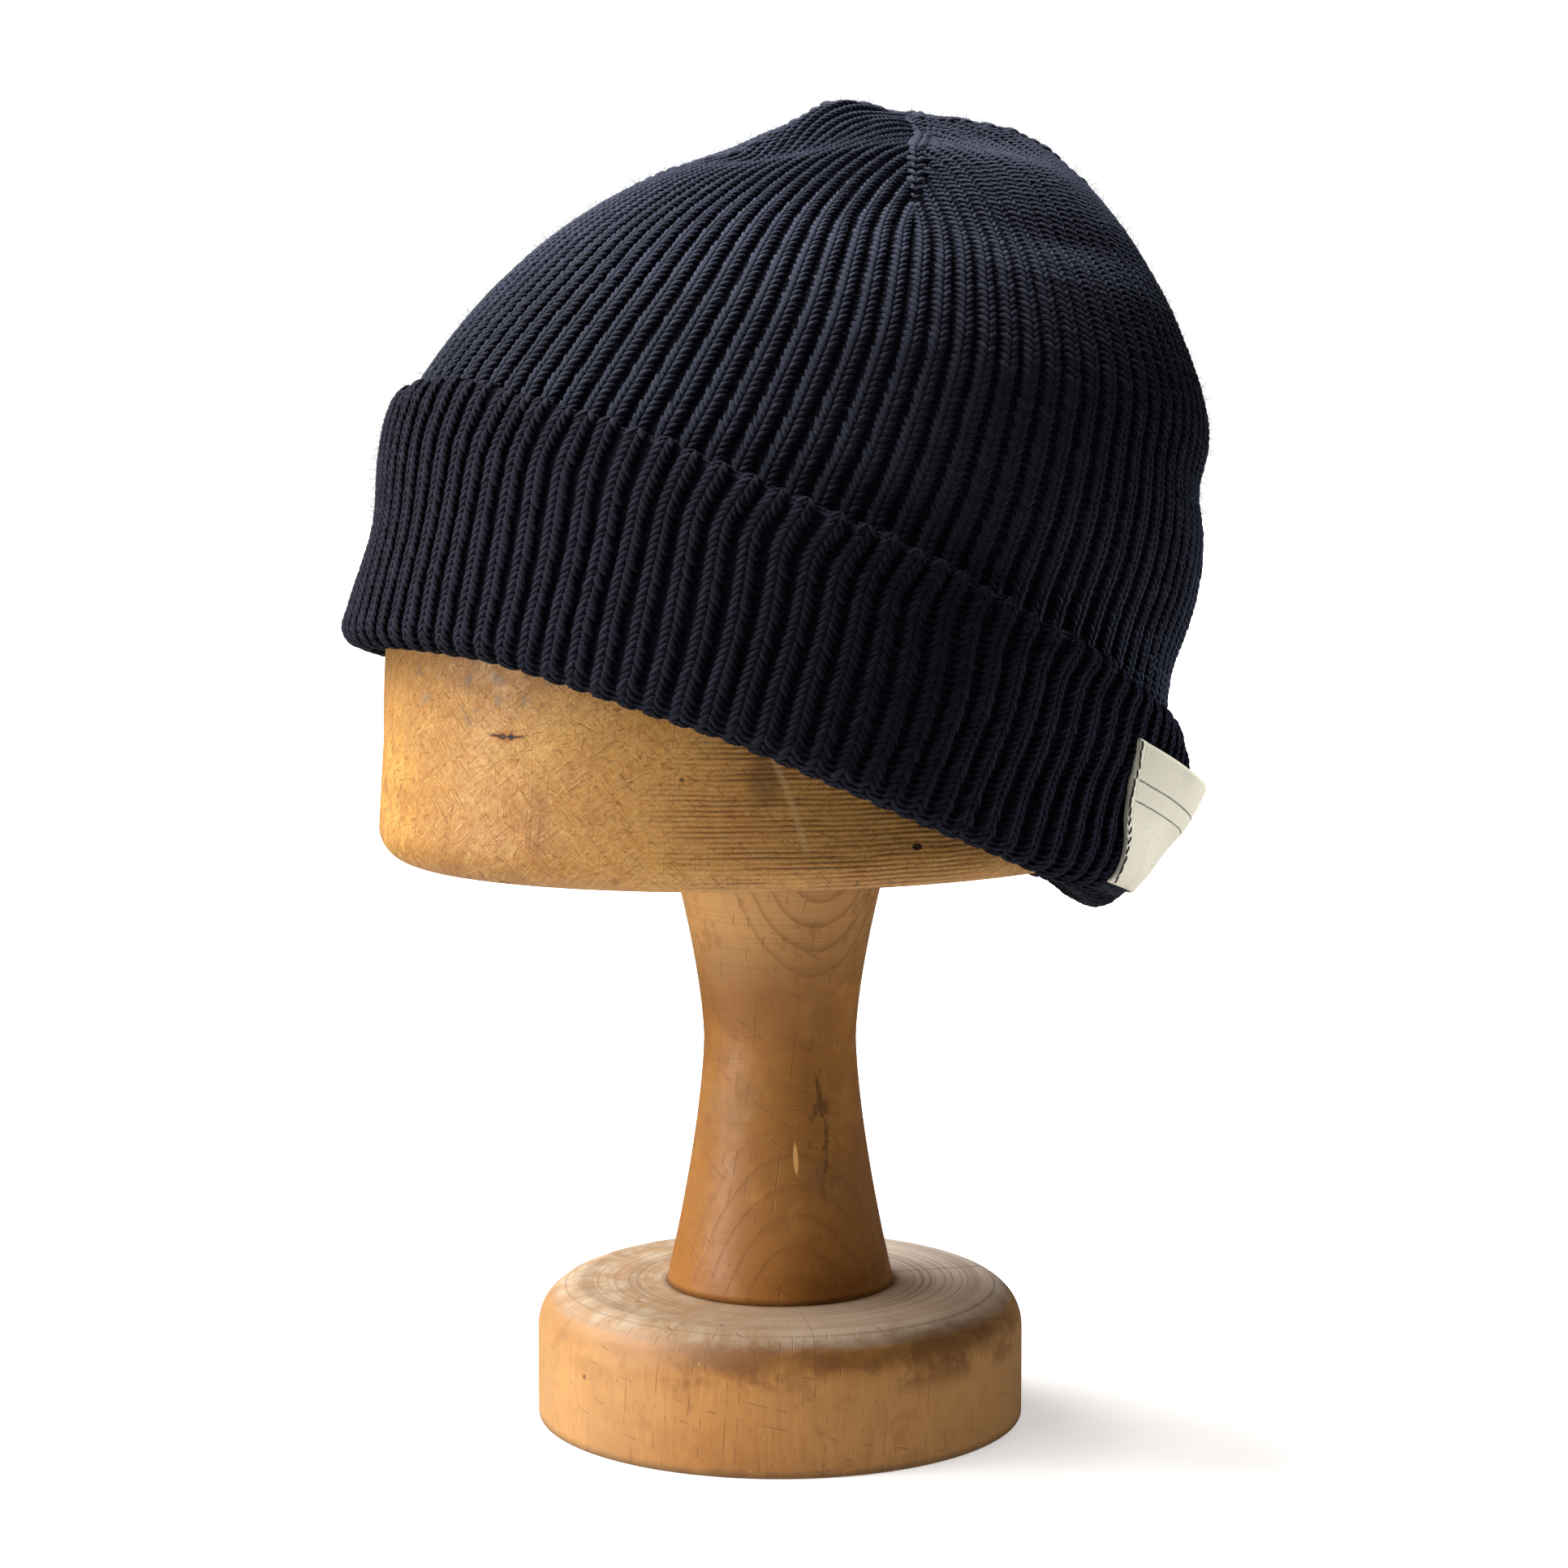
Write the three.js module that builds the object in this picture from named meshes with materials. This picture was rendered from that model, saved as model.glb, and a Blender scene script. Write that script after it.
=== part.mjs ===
import * as THREE from 'three';

// A ribbed watch cap with a turned-up cuff, slanted back on a wooden hat stand.
// Millimetres, +Z up. The origin is the centre of the stand's underside; the cap's front faces -Y.

// Sizes of the stand
const baseRadius = 60.8;
const baseHeight = 33.5;
const baseShoulderRadius = 11;
const baseFootBevel = 0.8;
const stemFootRadius = 28.5;
const stemWaistRadius = 19;
const stemTopRadius = 27.5;
const stemLength = 109.5;
const stemWaistHeight = 62;
const stemFlarePower = 1.5;
const blockHeight = 155;
const blockHalfLength = 98.5;
const blockWidthRatio = 0.85;
const blockTaper = 2;
const blockEdgeRadius = 8;
const blockDomeStart = 30;
const blockDomePower = 2.3;
const blockForward = 3.5;
const blockFloor = baseHeight + stemLength;

// Facets of the turned pieces: sides round the axis, and steps along their curves
const baseFacets = { sides: 36, shoulderSteps: 6 };
const stemFacets = { sides: 28, steps: 9 };
const blockFacets = { sides: 44, edgeSteps: 4, domeSteps: 7 };

// Sizes of the knit
const wallThickness = 3.4;
const blockClearance = 0.6;
const edgeEase = 1;
const curlHeight = 10.5;
const curlRate = 0.046;
const layerGap = 0.5;
const quarterCount = 4;
const ribsPerQuarter = 24;
const ribRelief = 1.8;
const seamTurn = 23;
const decreaseStart = 0.67;
const labelThickness = 0.9;

// The knit's inner face, a row for each slanted section from the rim up to the gathered top.
// Front and back are the section's ends in the middle plane, with heights above the block's underside.
// Side drop is how far the section leans down towards +X at its widest.
const capSections = [
  { frontY: -100.5, frontZ: 54.5, backY: 73, backZ: -12, halfWidth: 83.5, sideDrop: 4 },
  { frontY: -95, frontZ: 83, backY: 90, backZ: 6, halfWidth: 83.8, sideDrop: 2 },
  { frontY: -86.5, frontZ: 112, backY: 93.5, backZ: 24, halfWidth: 83, sideDrop: 0.8 },
  { frontY: -79, frontZ: 122, backY: 102, backZ: 57, halfWidth: 85, sideDrop: 0 },
  { frontY: -67, frontZ: 134, backY: 105, backZ: 98, halfWidth: 84, sideDrop: 0 },
  { frontY: -50, frontZ: 148, backY: 96.5, backZ: 126, halfWidth: 74, sideDrop: 0 },
  { frontY: -31, frontZ: 158.5, backY: 86, backZ: 149, halfWidth: 58, sideDrop: 2 },
  { frontY: -11, frontZ: 166, backY: 77, backZ: 164.5, halfWidth: 38.5, sideDrop: 4 },
  { frontY: 13, frontZ: 176, backY: 66, backZ: 173.2, halfWidth: 19.5, sideDrop: 3.5 },
  { frontY: 36, frontZ: 176.2, backY: 36, backZ: 176.2, halfWidth: 0, sideDrop: 0 },
];
const cuffTopRow = 2;

// Dents (negative) and lobes (positive) of the slack knit. Angles run from the back towards +X.
const capDents = [
  { angle: 186, row: 6.65, depth: 1.2, angleSpread: 20, rowSpread: 0.3 },
  { angle: 180, row: 7.3, depth: -4.5, angleSpread: 30, rowSpread: 0.42 },
  { angle: 113, row: 8, depth: -2, angleSpread: 14, rowSpread: 0.8 },
  { angle: 75, row: 8, depth: 1.5, angleSpread: 22, rowSpread: 0.7 },
  { angle: 194, row: 8.15, depth: 3.2, angleSpread: 22, rowSpread: 0.5 },
  { angle: 32, row: 3.65, depth: -3, angleSpread: 35, rowSpread: 0.22 },
  { angle: 75, row: 5.6, depth: -1.5, angleSpread: 20, rowSpread: 0.3 },
];

// The cuff's section, from its top edge down the outside, under the fold and up the inside.
// Rise is a share of the cuff's height, out is measured from the knit's inner face.
const cuffInside = wallThickness + layerGap;
const cuffSection = [
  { rise: 1, out: 6, ribbed: true },
  { rise: 0.985, out: 7.3, ribbed: true },
  { rise: 0.92, out: 7.9, ribbed: true },
  { rise: 0.5, out: 7.4, ribbed: true },
  { rise: 0.12, out: 7.4, ribbed: true },
  { rise: 0.03, out: 6.4, ribbed: true },
  { rise: 0, out: 4.4, ribbed: false },
  { rise: 0.02, out: 1.4, ribbed: false },
  { rise: 0.06, out: 0, ribbed: false },
  { rise: 0.11, out: 0, ribbed: false },
  { rise: 0.11, out: cuffInside, ribbed: false },
  { rise: 0.25, out: cuffInside, ribbed: false },
  { rise: 0.5, out: cuffInside, ribbed: false },
  { rise: 0.7, out: cuffInside, ribbed: false },
  { rise: 0.93, out: cuffInside, ribbed: false },
  { rise: 0.985, out: 4.6, ribbed: false },
];
const crownFootRise = 0.12;

// The label's place on the cuff
const labelSpan = { fromAngle: 57, toAngle: 23, fromRise: 0.1, toRise: 0.72, stand: 9, lift: 1 };
const labelColumns = 14;
const labelRows = 4;

// Crown rows that are modelled, as rows of the section table
const crownOuterRows = [8.85, 8.6, 8.3, 7.9, 7.4, 6.9, 6.2, 5.3, 4.5, 3.95, 3.65, 3.35, 2.7, 2.12];
const crownHiddenRows = [2, 1.86, 1.4, 1, 0.5];
const crownInnerRows = [0.5, 0.75, 1, 1.4, 2, 2.9, 3.65, 4.6, 5.5, 6.3, 7, 7.7, 8.4];
const plainStep = 2;

// Small lengths and steps of the working-out: the nearest that a rib comes to a seam, in ribs,
// the steps that a slope or a girth is measured over, and the least side of a triangle
const seamMargin = 0.3;
const slopeProbe = { row: 0.05, angle: 0.5, poleMargin: 0.1 };
const girthStep = 10;
const leastSide = 1e-6;

const ribCount = quarterCount * ribsPerQuarter;
const halfQuarter = ribsPerQuarter / 2;
const lastRow = capSections.length - 1;

const wood = (color) => new THREE.MeshStandardMaterial({ color, roughness: 0.55, metalness: 0 });
const knit = new THREE.MeshStandardMaterial({ color: 0x1c1e2b, roughness: 0.95, metalness: 0 });
const tape = new THREE.MeshStandardMaterial({ color: 0xe4ddc8, roughness: 0.9, metalness: 0 });

function namedMesh(name, geometry, material) {
  const mesh = new THREE.Mesh(geometry, material);
  mesh.name = name;
  return mesh;
}

function arc(centreX, centreY, radius, fromDegrees, toDegrees, steps) {
  const points = [];
  for (let i = 0; i <= steps; i += 1) {
    const angle = THREE.MathUtils.degToRad(fromDegrees + ((toDegrees - fromDegrees) * i) / steps);
    points.push(new THREE.Vector2(centreX + radius * Math.cos(angle), centreY + radius * Math.sin(angle)));
  }
  return points;
}

// A turned piece: its profile runs from the axis below to the axis above.
function turned(profile, segments) {
  return new THREE.LatheGeometry(profile, segments).rotateX(Math.PI / 2);
}

function standBase() {
  const topRadius = baseRadius - baseShoulderRadius;
  const shoulderHeight = baseHeight - baseShoulderRadius;
  return turned([
    new THREE.Vector2(0, 0),
    new THREE.Vector2(baseRadius - baseFootBevel, 0),
    new THREE.Vector2(baseRadius, baseFootBevel),
    ...arc(topRadius, shoulderHeight, baseShoulderRadius, 0, 90, baseFacets.shoulderSteps),
    new THREE.Vector2(0, baseHeight),
  ], baseFacets.sides);
}

function stemRadius(height) {
  const below = height < stemWaistHeight;
  const reach = below ? stemWaistHeight : stemLength - stemWaistHeight;
  const flare = (below ? stemFootRadius : stemTopRadius) - stemWaistRadius;
  return stemWaistRadius + flare * (Math.abs(height - stemWaistHeight) / reach) ** stemFlarePower;
}

function standStem() {
  const profile = [new THREE.Vector2(0, 0)];
  for (let i = 0; i <= stemFacets.steps; i += 1) {
    const height = (stemLength * i) / stemFacets.steps;
    profile.push(new THREE.Vector2(stemRadius(height), height));
  }
  profile.push(new THREE.Vector2(0, stemLength));
  return turned(profile, stemFacets.sides);
}

// Half length of the block at a height above its underside.
function blockReach(height) {
  const domeReach = blockHalfLength - blockTaper;
  if (height < blockDomeStart) {
    const edgeDepth = Math.max(blockEdgeRadius - height, 0);
    const edgeLoss = blockEdgeRadius - Math.sqrt(blockEdgeRadius ** 2 - edgeDepth ** 2);
    return blockHalfLength - (blockTaper * height) / blockDomeStart - edgeLoss;
  }
  const climb = Math.min((height - blockDomeStart) / (blockHeight - blockDomeStart), 1);
  return domeReach * (1 - climb ** blockDomePower) ** (1 / blockDomePower);
}

function hatBlock() {
  const edgeReach = blockReach(blockEdgeRadius);
  const profile = [
    new THREE.Vector2(0, 0),
    ...arc(edgeReach - blockEdgeRadius, blockEdgeRadius, blockEdgeRadius, -90, 0, blockFacets.edgeSteps),
    new THREE.Vector2(blockReach(blockDomeStart), blockDomeStart),
  ];
  for (let i = 1; i < blockFacets.domeSteps; i += 1) {
    const climb = Math.sin((Math.PI / 2) * (i / blockFacets.domeSteps));
    const height = blockDomeStart + (blockHeight - blockDomeStart) * climb;
    profile.push(new THREE.Vector2(blockReach(height), height));
  }
  profile.push(new THREE.Vector2(0, blockHeight));
  return turned(profile, blockFacets.sides).scale(blockWidthRatio, 1, 1);
}

function sectionCurve(pick) {
  return new THREE.CatmullRomCurve3(capSections.map(pick));
}

const frontCurve = sectionCurve((row) => new THREE.Vector3(0, row.frontY, row.frontZ));
const backCurve = sectionCurve((row) => new THREE.Vector3(0, row.backY, row.backZ));
const widthCurve = sectionCurve((row, index) => new THREE.Vector3(row.halfWidth, index, row.sideDrop));

// A point of the smooth slanted loft, before dents.
function loftPoint(angle, row) {
  const share = THREE.MathUtils.clamp(row / lastRow, 0, 1);
  const front = frontCurve.getPoint(share);
  const back = backCurve.getPoint(share);
  const radians = THREE.MathUtils.degToRad(angle);
  const point = front.clone().lerp(back, 0.5 + 0.5 * Math.cos(radians));
  const width = widthCurve.getPoint(share);
  point.x += width.x * Math.sin(radians);
  point.z -= width.z * Math.sin(radians);
  return point;
}

function loftNormal(angle, row) {
  const { row: rowStep, angle: angleStep, poleMargin } = slopeProbe;
  const low = Math.min(row, lastRow - poleMargin);
  const climb = loftPoint(angle, low + rowStep).sub(loftPoint(angle, low - rowStep));
  const sweep = loftPoint(angle + angleStep, low).sub(loftPoint(angle - angleStep, low));
  return climb.cross(sweep).normalize();
}

function dentAt(angle, row) {
  let depth = 0;
  for (const dent of capDents) {
    const turn = THREE.MathUtils.euclideanModulo(angle - dent.angle + 180, 360) - 180;
    const across = (turn / dent.angleSpread) ** 2;
    const along = ((row - dent.row) / dent.rowSpread) ** 2;
    depth += dent.depth * Math.exp(-across - along);
  }
  return depth;
}

// Half length at which the knit rests: on the block's side, and curling in below its lower edge.
function restReach(height) {
  if (height > 2 * curlHeight) return blockReach(height) + blockClearance;
  const side = blockHalfLength - (blockTaper * height) / blockDomeStart + blockClearance;
  const ease = edgeEase * Math.min(2 - height / curlHeight, 1);
  return side + ease - curlRate * Math.max(curlHeight - height, 0) ** 2;
}

// Moves a point that would sink into the block out to where the knit rests.
function drape(point) {
  if (point.z > blockHeight) return point;
  const reach = restReach(point.z);
  const across = point.x / blockWidthRatio;
  const along = point.y + blockForward;
  const distance = Math.hypot(across, along);
  if (distance >= reach || distance === 0) return point;
  point.x *= reach / distance;
  point.y = along * (reach / distance) - blockForward;
  return point;
}

// A point of the knit: its angle, its row and how far it stands out from the inner face.
function knitPoint(angle, row, out) {
  const normal = loftNormal(angle, row);
  const inner = drape(loftPoint(angle, row).addScaledVector(normal, dentAt(angle, row)));
  return inner.addScaledVector(normal, out);
}

function girth(row) {
  let length = 0;
  for (let angle = 0; angle < 360; angle += girthStep) {
    length += loftPoint(angle, row).distanceTo(loftPoint(angle + girthStep, row));
  }
  return length;
}

const fullGirth = girth(cuffTopRow);

// Ribs left on each side of a quarter's middle: above the decrease start they end at the seams.
function ribsBesideMiddle(row) {
  return halfQuarter * Math.min(1, girth(row) / (fullGirth * decreaseStart));
}

// A closed ring round the cap. Marks count ribs from the first seam, so that rings join rib to rib.
function ribbedRing(row, out) {
  const beside = ribsBesideMiddle(row);
  const pitch = girth(row) / (2 * quarterCount * beside);
  const relief = ribRelief * Math.min(1, pitch / (fullGirth / ribCount)) * 0.5;
  const ring = [];
  for (let quarter = 0; quarter < quarterCount; quarter += 1) {
    const place = (step) => seamTurn + 90 * (quarter + 0.5 + step / (2 * beside));
    const mark = (step) => quarter * ribsPerQuarter + halfQuarter + step;
    ring.push({ mark: quarter * ribsPerQuarter, point: knitPoint(place(-beside), row, out - relief) });
    for (let half = -ribsPerQuarter + 1; half < ribsPerQuarter; half += 1) {
      const step = half / 2;
      if (Math.abs(step) > beside - seamMargin) continue;
      const height = half % 2 === 0 ? -relief : relief;
      ring.push({ mark: mark(step), point: knitPoint(place(step), row, out + height) });
    }
  }
  return ring;
}

function plainRing(row, out) {
  const ring = [];
  for (let mark = 0; mark < ribCount; mark += plainStep) {
    ring.push({ mark, point: knitPoint(seamTurn + (360 * mark) / ribCount, row, out) });
  }
  return ring;
}

function poleRing(out) {
  return [{ mark: 0, point: loftPoint(0, lastRow).add(new THREE.Vector3(0, 0, out)) }];
}

// Joins two rings mark by mark with triangles that face outwards. Patches split on their short diagonal.
function joinRings(upper, lower, corners) {
  const pointOf = (ring, i) => ring[i % ring.length].point;
  const nextMark = (ring, i) => (i + 1 < ring.length ? ring[i + 1].mark : ribCount);
  let a = 0;
  let b = 0;
  while (a < upper.length || b < lower.length) {
    const first = pointOf(upper, a);
    const second = pointOf(lower, b);
    const lead = nextMark(lower, b) - nextMark(upper, a);
    const shorter = second.distanceTo(pointOf(upper, a + 1)) <= first.distanceTo(pointOf(lower, b + 1));
    const stepUpper = b >= lower.length || (a < upper.length && (lead > 0 || (lead === 0 && shorter)));
    if (stepUpper) {
      a += 1;
      corners.push(first, pointOf(upper, a), second);
    } else {
      b += 1;
      corners.push(first, pointOf(lower, b), second);
    }
  }
}

// A closed skin over rings given in order, each triangle with an area of its own.
function ringSkin(rings, closed) {
  const corners = [];
  const joins = closed ? rings.length : rings.length - 1;
  for (let i = 0; i < joins; i += 1) {
    joinRings(rings[i], rings[(i + 1) % rings.length], corners);
  }
  const kept = [];
  for (let i = 0; i < corners.length; i += 3) {
    const [p, q, r] = corners.slice(i, i + 3);
    const side = Math.min(p.distanceTo(q), q.distanceTo(r), r.distanceTo(p));
    if (side > leastSide) kept.push(p, q, r);
  }
  return new THREE.BufferGeometry().setFromPoints(kept);
}

function capCrown() {
  const foot = crownFootRise * cuffTopRow;
  return ringSkin([
    poleRing(wallThickness),
    ...crownOuterRows.map((row) => ribbedRing(row, wallThickness)),
    ...crownHiddenRows.map((row) => plainRing(row, wallThickness)),
    plainRing(foot, wallThickness),
    plainRing(foot, 0),
    ...crownInnerRows.map((row) => plainRing(row, 0)),
    poleRing(0),
  ], false);
}

function capCuff() {
  const rings = cuffSection.map(({ rise, out, ribbed }) => {
    const row = rise * cuffTopRow;
    return ribbed ? ribbedRing(row, out) : plainRing(row, out);
  });
  return ringSkin(rings, true);
}

// The label is a tape round the cuff: rings run along its outside and back along its inside.
function capLabel() {
  const ringAt = (rise, outer, inner) => {
    const ring = [];
    for (let i = 0; i <= 2 * labelColumns + 1; i += 1) {
      const outside = i <= labelColumns;
      const share = (outside ? i : 2 * labelColumns + 1 - i) / labelColumns;
      const angle = THREE.MathUtils.lerp(labelSpan.toAngle, labelSpan.fromAngle, share);
      const lift = labelSpan.lift * Math.sin(Math.PI * share);
      const out = labelSpan.stand + lift + (outside ? outer : inner);
      const mark = (ribCount * i) / (2 * labelColumns + 2);
      ring.push({ mark, point: knitPoint(angle, rise * cuffTopRow, out) });
    }
    return ring;
  };
  const rings = [ringAt(labelSpan.toRise, labelThickness / 2, labelThickness / 2)];
  for (let i = 0; i <= labelRows; i += 1) {
    const rise = THREE.MathUtils.lerp(labelSpan.toRise, labelSpan.fromRise, i / labelRows);
    rings.push(ringAt(rise, labelThickness, 0));
  }
  rings.push(ringAt(labelSpan.fromRise, labelThickness / 2, labelThickness / 2));
  return ringSkin(rings, false);
}

const stand = new THREE.Group();
const stem = namedMesh('stand_stem', standStem(), wood(0xa8743c));
stem.position.z = baseHeight;
const block = namedMesh('hat_block', hatBlock(), wood(0xc9934f));
block.position.set(0, -blockForward, blockFloor);
stand.add(namedMesh('stand_base', standBase(), wood(0xb9864a)), stem, block);

const cap = new THREE.Group();
cap.position.z = blockFloor;
cap.add(
  namedMesh('cap_crown', capCrown(), knit),
  namedMesh('cap_cuff', capCuff(), knit.clone()),
  namedMesh('label', capLabel(), tape),
);

const part = new THREE.Group();
part.add(stand, cap);

export default part;
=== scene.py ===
import math

import bpy
import numpy as np
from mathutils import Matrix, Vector


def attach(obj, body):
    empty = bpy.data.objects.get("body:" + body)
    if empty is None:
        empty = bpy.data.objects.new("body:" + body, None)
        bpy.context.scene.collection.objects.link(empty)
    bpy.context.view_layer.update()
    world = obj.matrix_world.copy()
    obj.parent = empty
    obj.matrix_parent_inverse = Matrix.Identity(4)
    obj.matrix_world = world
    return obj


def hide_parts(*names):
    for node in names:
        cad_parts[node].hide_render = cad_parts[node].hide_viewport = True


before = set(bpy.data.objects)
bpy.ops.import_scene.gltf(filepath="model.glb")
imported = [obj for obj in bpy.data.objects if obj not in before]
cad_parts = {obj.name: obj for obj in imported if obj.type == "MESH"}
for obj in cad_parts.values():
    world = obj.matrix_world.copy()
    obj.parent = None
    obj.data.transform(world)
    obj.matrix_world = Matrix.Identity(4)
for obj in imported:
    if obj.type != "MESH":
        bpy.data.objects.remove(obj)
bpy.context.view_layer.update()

mm = 0.001
print("frame loaded:", ", ".join(sorted(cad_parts)))


# Shader sheets: a Wire is one output socket, and sums of wires add Math nodes

def operator(operation):  # the plain and the reflected form
    return (lambda wire, other: wire.finish.maths(operation, wire, other),
            lambda wire, other: wire.finish.maths(operation, other, wire))


class Wire:
    __add__, __radd__ = operator("ADD")
    __sub__, __rsub__ = operator("SUBTRACT")
    __mul__, __rmul__ = operator("MULTIPLY")
    __truediv__, __rtruediv__ = operator("DIVIDE")
    __pow__, __rpow__ = operator("POWER")

    def __init__(self, finish, socket):
        self.finish = finish
        self.socket = socket

    def also(self, output):  # another output of the same node
        return Wire(self.finish, self.socket.node.outputs[output])


class Finish:
    def __init__(self, name):
        self.material = bpy.data.materials.new(name)
        self.material.use_nodes = True
        self.tree = self.material.node_tree
        self.tree.nodes.clear()
        self.shader = self.tree.nodes.new("ShaderNodeBsdfPrincipled")
        output = self.tree.nodes.new("ShaderNodeOutputMaterial")
        self.tree.links.new(self.shader.outputs[0], output.inputs["Surface"])

    def feed(self, socket, value):
        if isinstance(value, Wire):
            self.tree.links.new(value.socket, socket)
        else:
            socket.default_value = value

    def node(self, kind, settings=None, sockets=None, output=0):
        made = self.tree.nodes.new(kind)
        for name, value in (settings or {}).items():
            if name == "stops":  # a ramp's places and colours
                while len(made.color_ramp.elements) < len(value):
                    made.color_ramp.elements.new(0.5)
                for element, (place, colour) in zip(made.color_ramp.elements, value):
                    element.position = place
                    element.color = (*colour, 1)
            else:
                setattr(made, name, value)
        for name, value in (sockets or {}).items():
            self.feed(made.inputs[name], value)
        return Wire(self, made.outputs[output])

    def surface(self, **values):  # base_color stands for the socket Base Color
        for name, value in values.items():
            self.feed(self.shader.inputs[name.replace("_", " ").title().replace("Ior", "IOR")], value)
        return self.material

    def maths(self, operation, left, right=0.0):
        return self.node("ShaderNodeMath", {"operation": operation}, {0: left, 1: right})

    def gap(self, value):  # how far from zero
        return self.maths("ABSOLUTE", value)

    def wave(self, value):  # 0 to 1
        return 0.5 + 0.5 * self.maths("SINE", value)

    def most(self, first, *others):
        for other in others:
            first = self.maths("MAXIMUM", first, other)
        return first

    def place(self):
        return self.node("ShaderNodeTexCoord", output="Object")

    def flat(self):  # places on the flat cloth, in millimetres
        return self.node("ShaderNodeAttribute", {"attribute_name": "flatPlace"}, output="Vector")

    def parts(self, vector):
        x = self.node("ShaderNodeSeparateXYZ", {}, {0: vector})
        return x, x.also(1), x.also(2)

    def point(self, x, y, z):
        return self.node("ShaderNodeCombineXYZ", {}, {0: x, 1: y, 2: z})

    def vectors(self, operation, first, second=(0, 0, 0), output=0):
        return self.node("ShaderNodeVectorMath", {"operation": operation}, {0: first, 1: second}, output)

    def stretched(self, vector, scale):
        return self.vectors("MULTIPLY", vector, scale)

    def noise(self, vector, scale=1.0, detail=2.0, rough=0.5, warp=0.0):
        sockets = {"Vector": vector, "Scale": scale, "Detail": detail, "Roughness": rough, "Distortion": warp}
        return self.node("ShaderNodeTexNoise", {}, sockets)

    def fade(self, value, start, end):  # 0 at start to 1 at end, smoothly, where end may be the smaller
        sockets = {"Value": value, "From Min": start, "From Max": end}
        return self.node("ShaderNodeMapRange", {"interpolation_type": "SMOOTHSTEP"}, sockets)

    def ramp(self, value, stops):
        return self.node("ShaderNodeValToRGB", {"stops": stops}, {0: value})

    def mix(self, factor, *colours):
        first, second = (shade if isinstance(shade, Wire) else (*shade, 1) for shade in colours)
        settings = {"data_type": "RGBA", "clamp_factor": True}
        return self.node("ShaderNodeMix", settings, {0: factor, 6: first, 7: second}, output=2)

    def paint(self, colour, layers):  # rows of strength, mask and colour, each over the ones before
        for strength, mask, tone in layers:
            colour = self.mix(strength * mask, colour, tone)
        return colour

    def bump(self, height, depth):
        return self.node("ShaderNodeBump", {}, {"Height": height, "Distance": depth})


# Mesh and modifier helpers

def meshFrom(name, points, faces, material):
    mesh = bpy.data.meshes.new(name)
    mesh.from_pydata((np.asarray(points) * mm).tolist(), [], faces)
    mesh.materials.append(material)
    mesh.polygons.foreach_set("use_smooth", [True] * len(mesh.polygons))
    mesh.update()
    return mesh


def pieceFrom(name, data):
    piece = bpy.data.objects.new(name, data)
    bpy.context.scene.collection.objects.link(piece)
    return piece


def dress(piece, slot, *nodes):
    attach(piece, "root")
    if nodes:
        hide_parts(*nodes)


def storeVectors(mesh, label, vectors):
    store = mesh.attributes.new(label, "FLOAT_VECTOR", "POINT")
    store.data.foreach_set("vector", vectors.ravel())


def skin(name, rings, material, closed=False, marks=None):
    # rings run from the top down the outside; columns that meet at a pole or a seam become one
    points = np.round(rings.reshape(-1, 3), 4)
    kept, first, index = np.unique(points, axis=0, return_index=True, return_inverse=True)
    grid = index.reshape(rings.shape[:2])
    upper = grid if closed else grid[:-1]
    lower = np.roll(grid, -1, 0) if closed else grid[1:]
    corners = np.stack([upper, np.roll(upper, -1, 1), np.roll(lower, -1, 1), lower], -1).reshape(-1, 4)
    faces = [list(dict.fromkeys(corner)) for corner in corners.tolist()]
    mesh = meshFrom(name, kept, [face for face in faces if len(face) > 2], material)
    if marks is not None:  # places on the flat cloth, read by its finish
        storeVectors(mesh, "flatPlace", marks.reshape(-1, 3)[first])
    return pieceFrom(name, mesh)


def treeOf(name, inputs):
    # a tree that starts from a mesh and strews copies of a small shape, with a way to add its nodes
    tree = bpy.data.node_groups.new(name, "GeometryNodeTree")
    shared = {"Geometry": "Geometry", "Shape": "Object", "Seed": "Int", "Material": "Material"}
    for label, kind in {**shared, **inputs}.items():
        tree.interface.new_socket(label, in_out="INPUT", socket_type="NodeSocket" + kind)
    tree.interface.new_socket("Geometry", in_out="OUTPUT", socket_type="NodeSocketGeometry")
    given = tree.nodes.new("NodeGroupInput").outputs

    def add(kind, settings=None, sockets=None, output=0):
        made = tree.nodes.new(kind)
        for key, value in (settings or {}).items():
            setattr(made, key, value)
        for key, value in (sockets or {}).items():
            if isinstance(value, bpy.types.NodeSocket):
                tree.links.new(value, made.inputs[key])
            else:
                made.inputs[key].default_value = value
        return made.outputs[output] if len(made.outputs) else None

    return tree, given, add


def strew(given, add, points, turn, size):
    shape = add("GeometryNodeObjectInfo", {}, {"Object": given["Shape"], "As Instance": True}, "Geometry")
    return add("GeometryNodeInstanceOnPoints", {},
               {"Points": points, "Instance": shape, "Rotation": turn, "Scale": size})


def endTree(given, add, copies):
    real = add("GeometryNodeRealizeInstances", {}, {0: copies})
    dyed = add("GeometryNodeSetMaterial", {}, {"Geometry": real, "Material": given["Material"]})
    add("NodeGroupOutput", {}, {0: dyed})


def runTree(name, tree, start, values):
    # the finished mesh of a tree that starts from the object start, which is then removed
    modifier = start.modifiers.new(tree.name, "NODES")
    modifier.node_group = tree
    for item in tree.interface.items_tree:
        if item.item_type == "SOCKET" and item.in_out == "INPUT" and item.name in values:
            modifier[item.identifier] = values[item.name]
    graph = bpy.context.evaluated_depsgraph_get()
    mesh = bpy.data.meshes.new_from_object(start.evaluated_get(graph), depsgraph=graph)
    mesh.name = name
    start.modifiers.remove(modifier)
    bpy.data.objects.remove(start)
    return pieceFrom(name, mesh)


# The stand's outlines, in millimetres

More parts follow.
